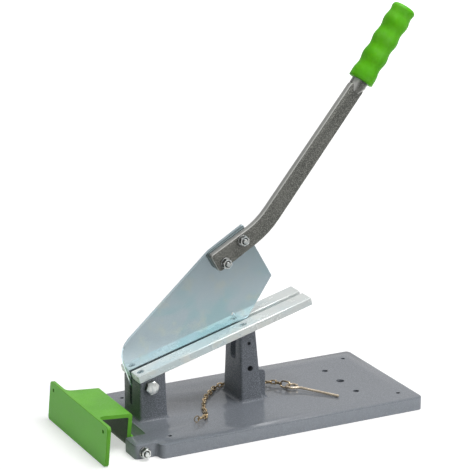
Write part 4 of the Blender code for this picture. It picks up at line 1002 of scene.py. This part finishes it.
def joined(name: str, parts: Sequence[bpy.types.Object], matrix: Matrix) -> bpy.types.Object:
    """Join several meshes into one object, placed by a matrix.

    Args:
        name: the new object's name.
        parts: objects whose meshes are joined, and which are removed.
        matrix: where the joined mesh goes.

    Returns:
        The new object at the origin.
    """
    builder = bmesh.new()
    for part in parts:
        builder.from_mesh(part.data)
        bpy.data.objects.remove(part)
    bmesh.ops.transform(builder, matrix=matrix, verts=builder.verts)
    return finished_object(name, builder, TURNED_SHARP)


def frame_matrix(origin: Vector, axis: Vector, side: Vector) -> Matrix:
    """Make a matrix from an origin and two directions.

    Args:
        origin: where it lies.
        axis: the direction of its Z.
        side: a direction that its X leans to.

    Returns:
        The matrix.
    """
    z_dir = axis.normalized()
    x_dir = (side - side.dot(z_dir) * z_dir).normalized()
    y_dir = z_dir.cross(x_dir)
    matrix = Matrix((x_dir, y_dir, z_dir)).transposed().to_4x4()
    matrix.translation = origin
    return matrix


def turns(count: int) -> list[float]:
    """Return equal steps of angle round a circle."""
    return [2 * math.pi * index / count for index in range(count)]


def on_circle(radius: float, turn: float, height: float) -> Vector:
    """Return the point of a level circle about Z at an angle."""
    return Vector((radius * math.cos(turn), radius * math.sin(turn), height))


@dataclass
class HexFastener:
    """A hexagon nut or bolt head with turned chamfers.

    Its foot is at the origin and it rises along Z.
    """

    flats: float
    height: float
    hole: float
    turn: float = 0.0
    chamfer_slope: float = math.tan(math.radians(30))
    land_share: float = 0.95
    dome_share: float = 0.03
    dome_land_share: float = 0.86
    foot_chamfer_share: float = 0.4
    seat_chamfer_share: float = 0.1
    bore_chamfer: float = 0.7 * MM
    segments: int = 96

    @property
    def land(self) -> float:
        """Return the radius of the flat ring inside the chamfer."""
        return self.flats / 2 * self.land_share

    def reach(self, angle: float) -> float:
        """Find the hexagon's radius in a direction.

        Args:
            angle: the direction.

        Returns:
            The radius.
        """
        step = math.pi / 3
        local = (angle - self.turn) % step
        return self.flats / 2 / math.cos(local - step / 2)

    def ring(self, radius: float, height: float) -> list[Vector]:
        """Return a round ring at a height."""
        return [on_circle(radius, turn, height) for turn in turns(self.segments)]

    def hexagon(self, foot: float, share: float) -> list[Vector]:
        """Make the hexagon's edge ring, which bends where a chamfer cuts its corners.

        Args:
            foot: the height at the middle of a flat.
            share: share of the full chamfer, below 0 where the corners dip.

        Returns:
            The ring.
        """
        ring = []
        for turn in turns(self.segments):
            full = self.reach(turn)
            cut = max(0.0, full - self.land) * self.chamfer_slope
            ring.append(on_circle(full, turn, foot + share * cut))
        return ring

    def nut_rings(self) -> list[list[Vector]]:
        """Make the rings of a nut.

        Returns:
            The rings from its bore's foot round to its bore's top.
        """
        mouth = self.hole + self.bore_chamfer
        return [self.ring(self.hole, self.bore_chamfer), self.ring(mouth, 0.0),
                self.ring(self.land, 0.0), self.hexagon(0.0, self.foot_chamfer_share),
                self.hexagon(self.height, -1.0), self.ring(self.land, self.height),
                self.ring(mouth, self.height),
                self.ring(self.hole, self.height - self.bore_chamfer)]

    def head_rings(self, core: float) -> list[list[Vector]]:
        """Make the rings of a bolt head.

        Args:
            core: radius of the flat that closes each end.

        Returns:
            The rings from its underside to a slightly domed top.
        """
        shoulder = self.height * (1 - self.dome_share)
        return [self.ring(core, 0.0), self.ring(self.land, 0.0),
                self.hexagon(0.0, self.seat_chamfer_share), self.hexagon(shoulder, -1.0),
                self.ring(self.land, shoulder),
                self.ring(self.land * self.dome_land_share, self.height),
                self.ring(core, self.height)]


@dataclass
class ThreadedRod:
    """A bolt's shank along Z from the origin, with a thread on its last stretch."""

    radius: float
    pitch: float
    length: float
    threaded: float
    depth_share: float = 0.5
    taper_share: float = 0.6
    crest_share: float = 0.4
    segments: int = 36
    steps_per_pitch: int = 6

    def rings(self) -> list[list[Vector]]:
        """Make rings whose radius follows the thread's flanks.

        Returns:
            The rings from the foot to the tip.
        """
        first = self.length - self.threaded
        count = max(2, round(self.threaded / self.pitch * self.steps_per_pitch))
        rings = [self.level(0.0, None)]
        rings += [self.level(first + self.threaded * step / count, first)
                  for step in range(count + 1)]
        return rings

    def level(self, height: float, first: float | None) -> list[Vector]:
        """Make the ring at a height.

        Args:
            height: the height above the foot.
            first: where the thread starts, or None on the plain shank.

        Returns:
            The ring.
        """
        depth = self.pitch * self.depth_share
        ring = []
        for index, turn in enumerate(turns(self.segments)):
            radius = self.radius
            if first is not None:
                phase = ((height - first) / self.pitch - index / self.segments) % 1.0
                radius -= depth * abs(2 * phase - 1)
                taper = max(0.0, height - (self.length - self.pitch * self.taper_share))
                radius = min(radius, self.radius - depth * self.crest_share - taper)
            ring.append(on_circle(radius, turn, height))
        return ring


@dataclass
class HexMeasure:
    """Axis, flats and ends of a hexagon fastener, read from its CAD node."""

    centre: Span
    corner: Vector
    prism: Span
    ends: Span
    shank: float

    TIP_SHARE = 0.99
    SHANK_SHARE = 0.75
    FACE_TOLERANCE = 0.01 * MM

    @classmethod
    def of(cls, node: bpy.types.Object) -> HexMeasure:
        """Measure a CAD node whose axis runs along Y.

        Args:
            node: the CAD node.

        Returns:
            Its measures.
        """
        points = [node.matrix_world @ vertex.co for vertex in node.data.vertices]
        centre = tuple((min(p[k] for p in points) + max(p[k] for p in points)) / 2
                       for k in (0, 2))
        spread = [(math.hypot(p.x - centre[0], p.z - centre[1]), p) for p in points]
        reach = max(distance for distance, _ in spread)
        tips = [p for distance, p in spread if distance > cls.TIP_SHARE * reach]
        corner = Vector((tips[0].x - centre[0], 0.0, tips[0].z - centre[1]))
        prism = (min(p.y for p in tips), max(p.y for p in tips))
        ends = (min(p.y for p in points), max(p.y for p in points))
        inner = [distance for distance, p in spread
                 if min(abs(p.y - prism[0]), abs(p.y - prism[1])) < cls.FACE_TOLERANCE
                 and distance < cls.SHANK_SHARE * reach]
        return cls(centre, corner, prism, ends, min(inner) if inner else 0.0)

    @property
    def flats(self) -> float:
        """Return the width across flats."""
        return 2 * self.corner.length * math.cos(math.pi / 6)

    @property
    def toward(self) -> float:
        """Return 1 where the chamfered face looks to +Y, and -1 where it looks to -Y."""
        return 1.0 if self.ends[1] - self.prism[1] > self.prism[0] - self.ends[0] else -1.0


@dataclass
class HexHardware:
    """Turned hexagon bolts and nuts that stand for the plain CAD ones.

    Each of pitches is a shank radius and the thread's pitch up to it.
    """

    shop: Workshop
    pitches: tuple[Span, ...] = ((5 * MM, 1.25 * MM), (9 * MM, 1.75 * MM))
    core: float = 0.5 * MM

    def nut(self, node: str, body: Body) -> None:
        """Build a nut in place of a CAD nut.

        Args:
            node: the CAD node's name.
            body: the body that it rides on.
        """
        size = HexMeasure.of(self.shop.nodes[node])
        seat = size.ends[0] if size.toward > 0 else size.ends[1]
        matrix = self.frame(size, seat, Vector((0.0, size.toward, 0.0)))
        shape = HexFastener(size.flats, size.ends[1] - size.ends[0], size.shank,
                            self.turn(size, matrix))
        piece = joined(node + "_turned", [loft("rings", shape.nut_rings(), closed=True)], matrix)
        self.shop.place(piece, FASTENER_ZINC, Slot.FASTENERS, body, node)

    def bolt(self, node: str, body: Body, threaded: float) -> None:
        """Build a bolt in place of a CAD bolt.

        Args:
            node: the CAD node's name.
            body: the body that it rides on.
            threaded: length of the thread that is drawn.
        """
        size = HexMeasure.of(self.shop.nodes[node])
        low_head = size.prism[0] - size.ends[0] < size.ends[1] - size.prism[1]
        seat = size.prism[1] if low_head else size.prism[0]
        crown, tip = size.ends if low_head else reversed(size.ends)
        outward = Vector((0.0, -1.0 if low_head else 1.0, 0.0))
        head_frame = self.frame(size, seat, outward)
        head = HexFastener(size.flats, abs(crown - seat), 0.0, self.turn(size, head_frame))
        head_piece = joined("head", [loft("rings", head.head_rings(self.core))], head_frame)
        pitch = next(value for limit, value in self.pitches if size.shank < limit)
        shank = ThreadedRod(size.shank, pitch, abs(tip - seat), threaded)
        shank_piece = joined("shank", [loft("rings", shank.rings())],
                             self.frame(size, seat, -outward))
        piece = joined(node + "_turned", [head_piece, shank_piece], Matrix.Identity(4))
        self.shop.place(piece, FASTENER_ZINC, Slot.FASTENERS, body, node)

    @staticmethod
    def frame(size: HexMeasure, height: float, axis: Vector) -> Matrix:
        """Return the frame on the fastener's axis at a height along Y."""
        return frame_matrix(Vector((size.centre[0], height, size.centre[1])), axis,
                            Vector((1.0, 0.0, 0.0)))

    @staticmethod
    def turn(size: HexMeasure, matrix: Matrix) -> float:
        """Return the angle of a corner in the fastener's own frame."""
        local = matrix.to_3x3().inverted() @ size.corner
        return math.atan2(local.y, local.x)


@dataclass
class CastBase:
    """The cast base with its posts, the rails and the rail screws."""

    shop: Workshop
    edge_break: float = 0.8 * MM
    rail_break: float = 0.25 * MM
    screw_break: float = 0.15 * MM

    def build(self) -> None:
        """Dress the casting, the rails and their screws."""
        base = self.shop.dress("base_casting", BASE_ENAMEL, Slot.CAST_BASE, Body.BASE,
                               self.edge_break)
        # The bevel faces take the lighter edge enamel, a painted highlight along the edges.
        base.data.materials.append(BASE_EDGE_HIGHLIGHT.material())
        base.modifiers["edge_break"].material = base.data.materials.find(BASE_EDGE_HIGHLIGHT.name)
        for node in ("rail_near", "rail_far"):
            self.shop.dress(node, RAIL_ZINC, Slot.RAILS, Body.BASE, self.rail_break)
        for node in sorted(self.shop.nodes):
            if node.startswith("rail_screw"):
                self.shop.dress(node, SCREW_ZINC, Slot.FASTENERS, Body.BASE, self.screw_break)


@dataclass
class Lever:
    """The blade with its arm, grip and fasteners."""

    shop: Workshop
    blade_sharp: float = 25.0
    arm_break: float = 0.4 * MM
    arm_sharp: float = 34.0
    grip_sharp: float = 50.0
    washer_break: float = 0.2 * MM
    thread: float = 10.5 * MM

    def build(self) -> None:
        """Dress the blade, the arm, the grip and the handle fasteners."""
        self.shop.dress("blade", BLADE_ZINC, Slot.BLADE, Body.LEVER, sharp=self.blade_sharp)
        self.shop.dress("handle_arm", ARM_ENAMEL, Slot.ARM, Body.LEVER, self.arm_break,
                        self.arm_sharp)
        self.shop.dress("handle_grip", GRIP_GREEN, Slot.GRIP, Body.LEVER,
                        sharp=self.grip_sharp)
        hardware = HexHardware(self.shop)
        for label in ("low", "high"):
            hardware.bolt("handle_bolt_" + label, Body.LEVER, self.thread)
            hardware.nut("handle_nut_" + label, Body.LEVER)
            self.shop.dress("handle_washer_" + label, FASTENER_ZINC, Slot.FASTENERS,
                            Body.LEVER, self.washer_break)


@dataclass
class Pivot:
    """The pivot bolt, its nut and the shims."""

    shop: Workshop
    shim_break: float = 0.15 * MM
    thread: float = 12 * MM

    def build(self) -> None:
        """Dress the pivot's pieces."""
        hardware = HexHardware(self.shop)
        hardware.bolt("pivot_bolt", Body.BASE, self.thread)
        hardware.nut("pivot_nut", Body.BASE)
        for node in ("pivot_shim_near", "pivot_shim_far"):
            self.shop.dress(node, FASTENER_ZINC, Slot.FASTENERS, Body.BASE, self.shim_break)


@dataclass
class EdgeBracket:
    """The folding bracket and its axle."""

    shop: Workshop
    bracket_break: float = 0.4 * MM
    washer_break: float = 0.2 * MM
    thread: float = 11 * MM

    def build(self) -> None:
        """Dress the bracket and the axle's pieces."""
        self.shop.dress("bracket", BRACKET_GREEN, Slot.BRACKET, Body.BRACKET,
                        self.bracket_break)
        hardware = HexHardware(self.shop)
        hardware.bolt("axle_bolt", Body.BASE, self.thread)
        hardware.nut("axle_nut", Body.BASE)
        for node in ("axle_washer_near", "axle_washer_far"):
            self.shop.dress(node, FASTENER_ZINC, Slot.FASTENERS, Body.BASE, self.washer_break)


@dataclass
class PinAndChain:
    """The locking pin, its chain and the chain's eye."""

    shop: Workshop
    pin_break: float = 0.4 * MM
    wire_sharp: float = 60.0
    wire: float = 2.3 * MM
    path_points: int = 32
    wire_sides: int = 10

    def build(self) -> None:
        """Round and dress the pin, every link and the eye."""
        self.shop.dress("lock_pin", PIN_ZINC, Slot.PIN_AND_CHAIN, Body.BASE, self.pin_break,
                        self.wire_sharp)
        for node in sorted(self.shop.nodes):
            if node == "chain_eye":
                self.shop.dress(node, YELLOW_ZINC, Slot.PIN_AND_CHAIN, Body.BASE,
                                sharp=self.wire_sharp)
            elif node.startswith("chain_"):
                self.shop.place(self.link(node), YELLOW_ZINC, Slot.PIN_AND_CHAIN, Body.BASE,
                                node)

    def link(self, node: str) -> bpy.types.Object:
        """Build a round-wired oval link in the place of a CAD link.

        Args:
            node: the CAD link's name.

        Returns:
            The new link.
        """
        source = self.shop.nodes[node]
        points = numpy.array([source.matrix_world @ vertex.co
                              for vertex in source.data.vertices])
        centre = points.mean(axis=0)
        # The axes come in order of spread: through the wire, across the link, along it.
        _, axes = numpy.linalg.eigh(numpy.cov((points - centre).T))
        local = (points - centre) @ axes
        length, width = (numpy.ptp(local[:, column]) for column in (2, 1))
        matrix = frame_matrix(Vector(centre), Vector(axes[:, 0]), Vector(axes[:, 2]))
        rings = [self.wire_ring((width - self.wire) / 2, (length - width) / 2, turn)
                 for turn in turns(self.path_points)]
        return joined(node + "_round", [loft("rings", rings, closed=True)], matrix)

    def wire_ring(self, radius: float, straight: float, turn: float) -> list[Vector]:
        """Make one ring round the wire of a link.

        Args:
            radius: radius of the link's ends, at the wire's middle.
            straight: half the length of its straight sides.
            turn: where the ring lies round the link.

        Returns:
            The ring.
        """
        outward = Vector((math.cos(turn), math.sin(turn), 0.0))
        place = outward * radius + Vector((math.copysign(straight, outward.x), 0.0, 0.0))
        upward = Vector((0.0, 0.0, 1.0))
        return [place + (outward * math.cos(side) + upward * math.sin(side)) * (self.wire / 2)
                for side in turns(self.wire_sides)]


@dataclass(frozen=True)
class Lamp:
    """A square area lamp."""

    name: str
    place: Point
    target: Point
    size: float
    power: float

    def build(self) -> None:
        """Hang the lamp and turn it to its target."""
        data = bpy.data.lights.new(self.name, "AREA")
        data.shape = "SQUARE"
        data.size = self.size
        data.energy = self.power
        lamp = bpy.data.objects.new(self.name, data)
        away = Vector(self.place) - Vector(self.target)
        lamp.matrix_world = frame_matrix(Vector(self.place), away, Vector((1.0, 0.0, 0.0)))
        bpy.context.scene.collection.objects.link(lamp)


@dataclass
class Studio:
    """The camera at the photograph's viewpoint, the floor and the lights.

    The spans say where a change of the floor or the room begins and ends. For the
    floor these are metres, and for the room shares of a direction.
    """

    eye: Point = (-1.4031, -2.6694, 1.1839)
    yaw: float = 0.4715
    pitch: float = 0.2958
    roll: float = 0.00198
    focal: float = 168.94
    sensor: float = 36.0
    far_clip: float = 50.0
    lamps: tuple[Lamp, ...] = (
        Lamp("overhead", (0.5, -0.5, 3.0), target=(0.0, 0.0, 0.1), size=1.6, power=62.0),
        Lamp("front", (1.4, -2.6, 1.1), target=(0.0, 0.0, 0.15), size=1.0, power=17.0),
        Lamp("back", (1.2, 2.0, 2.2), target=(0.0, 0.0, 0.2), size=0.8, power=6.0))
    floor_size: float = 9.0
    floor_depth: float = 0.4 * MM
    floor_tone: Colour = (0.62, 0.62, 0.62)
    front_tone: Colour = (0.46, 0.46, 0.46)
    front_floor: Span = (-0.34, -0.12)
    near_glow: float = 0.52
    sweep: Span = (0.9, 3.2)
    front_room: float = 0.12
    back_room: float = 0.62
    room_front: Span = (-0.25, 0.35)
    room_foot: Span = (-0.04, 0.10)
    room_head: Span = (0.22, 0.40)
    even_light: float = 0.36
    left_share: float = 0.12
    room_left: Span = (-0.85, 0.15)

    def build(self) -> None:
        """Set up the camera, the floor, the lamps and the world."""
        self.camera()
        self.floor()
        for lamp in self.lamps:
            lamp.build()
        self.world()
        bpy.context.scene.view_settings.view_transform = "Standard"

    def camera(self) -> None:
        """Place the camera by its yaw, pitch and roll."""
        forward = Vector((math.sin(self.yaw) * math.cos(self.pitch),
                          math.cos(self.yaw) * math.cos(self.pitch), -math.sin(self.pitch)))
        right = Vector((math.cos(self.yaw), -math.sin(self.yaw), 0.0))
        upward = right.cross(forward)
        side = right * math.cos(self.roll) + upward * math.sin(self.roll)
        upward = upward * math.cos(self.roll) - right * math.sin(self.roll)
        data = bpy.data.cameras.new("photo_view")
        data.lens = self.focal
        data.sensor_width = self.sensor
        data.sensor_fit = "HORIZONTAL"
        data.clip_end = self.far_clip
        camera = bpy.data.objects.new("photo_view", data)
        matrix = Matrix((side, upward, -forward)).transposed().to_4x4()
        matrix.translation = Vector(self.eye)
        camera.matrix_world = matrix
        bpy.context.scene.collection.objects.link(camera)
        bpy.context.scene.camera = camera

    def floor(self) -> None:
        """Build the pale floor just below the cutter."""
        half = self.floor_size / 2
        mesh = bpy.data.meshes.new("studio_floor")
        mesh.from_pydata([(x, y, -self.floor_depth) for x, y in
                          ((-half, -half), (half, -half), (half, half), (-half, half))],
                         [], [(0, 1, 2, 3)])
        floor = bpy.data.objects.new("studio_floor", mesh)
        bpy.context.scene.collection.objects.link(floor)
        mesh.materials.append(self.floor_material())

    def floor_material(self) -> bpy.types.Material:
        """Make the floor's material, which shows white and keeps the shadow.

        Far from the cutter it gets whiter, as a sweep of paper does, and the part in
        front of it is dimmer in reflections.

        Returns:
            The material.
        """
        material = bpy.data.materials.new("studio_white")
        material.use_nodes = True
        graph = Graph(material.node_tree)
        shader = material.node_tree.nodes["Principled BSDF"]
        path = graph.add("LightPath").outputs
        behind = graph.remap(graph.axes("Object")["Y"], *self.front_floor)
        mirrored = graph.math("MULTIPLY", path["Is Glossy Ray"], behind)
        dimmed = graph.math("SUBTRACT", path["Is Glossy Ray"], mirrored)
        reach = graph.add("VectorMath", operation="LENGTH")
        graph.feed(reach, Vector=graph.position())
        whiter = graph.remap(reach.outputs["Value"], *self.sweep, to_low=self.near_glow)
        shown = graph.math("MAXIMUM", self.straight_rays(graph, path), mirrored)
        graph.feed(shader, Base_Color=graph.mix(dimmed, self.floor_tone, self.front_tone),
                   Roughness=0.9, Specular_IOR_Level=0.1, Emission_Color=WHITE,
                   Emission_Strength=graph.math("MULTIPLY", shown, whiter))
        return material

    @staticmethod
    def straight_rays(graph: Graph,
                      path: bpy.types.bpy_prop_collection) -> bpy.types.NodeSocket:
        """Return 1 for rays that come straight from the camera or through glass."""
        return graph.math("MAXIMUM", path["Is Camera Ray"], path["Is Transmission Ray"])

    def world(self) -> None:
        """Light the scene evenly, show white behind it and mirror a darker room in front.

        The front of the room, between the floor and the lamps, is dark in reflections
        only. It gives rounded metal edges their dark lines.
        """
        world = bpy.data.worlds.new("studio_light")
        world.use_nodes = True
        bpy.context.scene.world = world
        graph = Graph(world.node_tree)
        path = graph.add("LightPath").outputs
        axes = graph.axes("Generated")
        front = graph.remap(axes["Y"], *self.room_front, to_low=1.0, to_high=0.0)
        above = graph.remap(axes["Z"], *self.room_foot)
        below = graph.remap(axes["Z"], *self.room_head, to_low=1.0, to_high=0.0)
        dark = graph.math("MULTIPLY", graph.math("MULTIPLY", front, above), below)
        room = graph.math("MULTIPLY_ADD", dark, self.front_room - self.back_room,
                          self.back_room)
        glossy = graph.math("MULTIPLY", path["Is Glossy Ray"], room)
        straight = self.straight_rays(graph, path)
        seen = graph.math("MAXIMUM", straight, path["Is Glossy Ray"])
        left = graph.remap(axes["X"], *self.room_left, to_low=self.left_share)
        even = graph.math("MULTIPLY", graph.math("SUBTRACT", 1.0, seen), left)
        even = graph.math("MULTIPLY", even, self.even_light)
        strength = graph.math("ADD", graph.math("ADD", straight, glossy), even)
        graph.feed(world.node_tree.nodes["Background"], Color=WHITE, Strength=strength)


def main() -> None:
    """Load the frame, dress every sub-assembly and set up the studio."""
    logging.basicConfig(level=logging.INFO, format="%(name)s: %(message)s")
    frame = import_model()
    shop = Workshop(frame["nodes"])
    for assembly in (CastBase(shop), Lever(shop), Pivot(shop), EdgeBracket(shop),
                     PinAndChain(shop)):
        assembly.build()
    Studio().build()


if __name__ == "__main__":
    main()
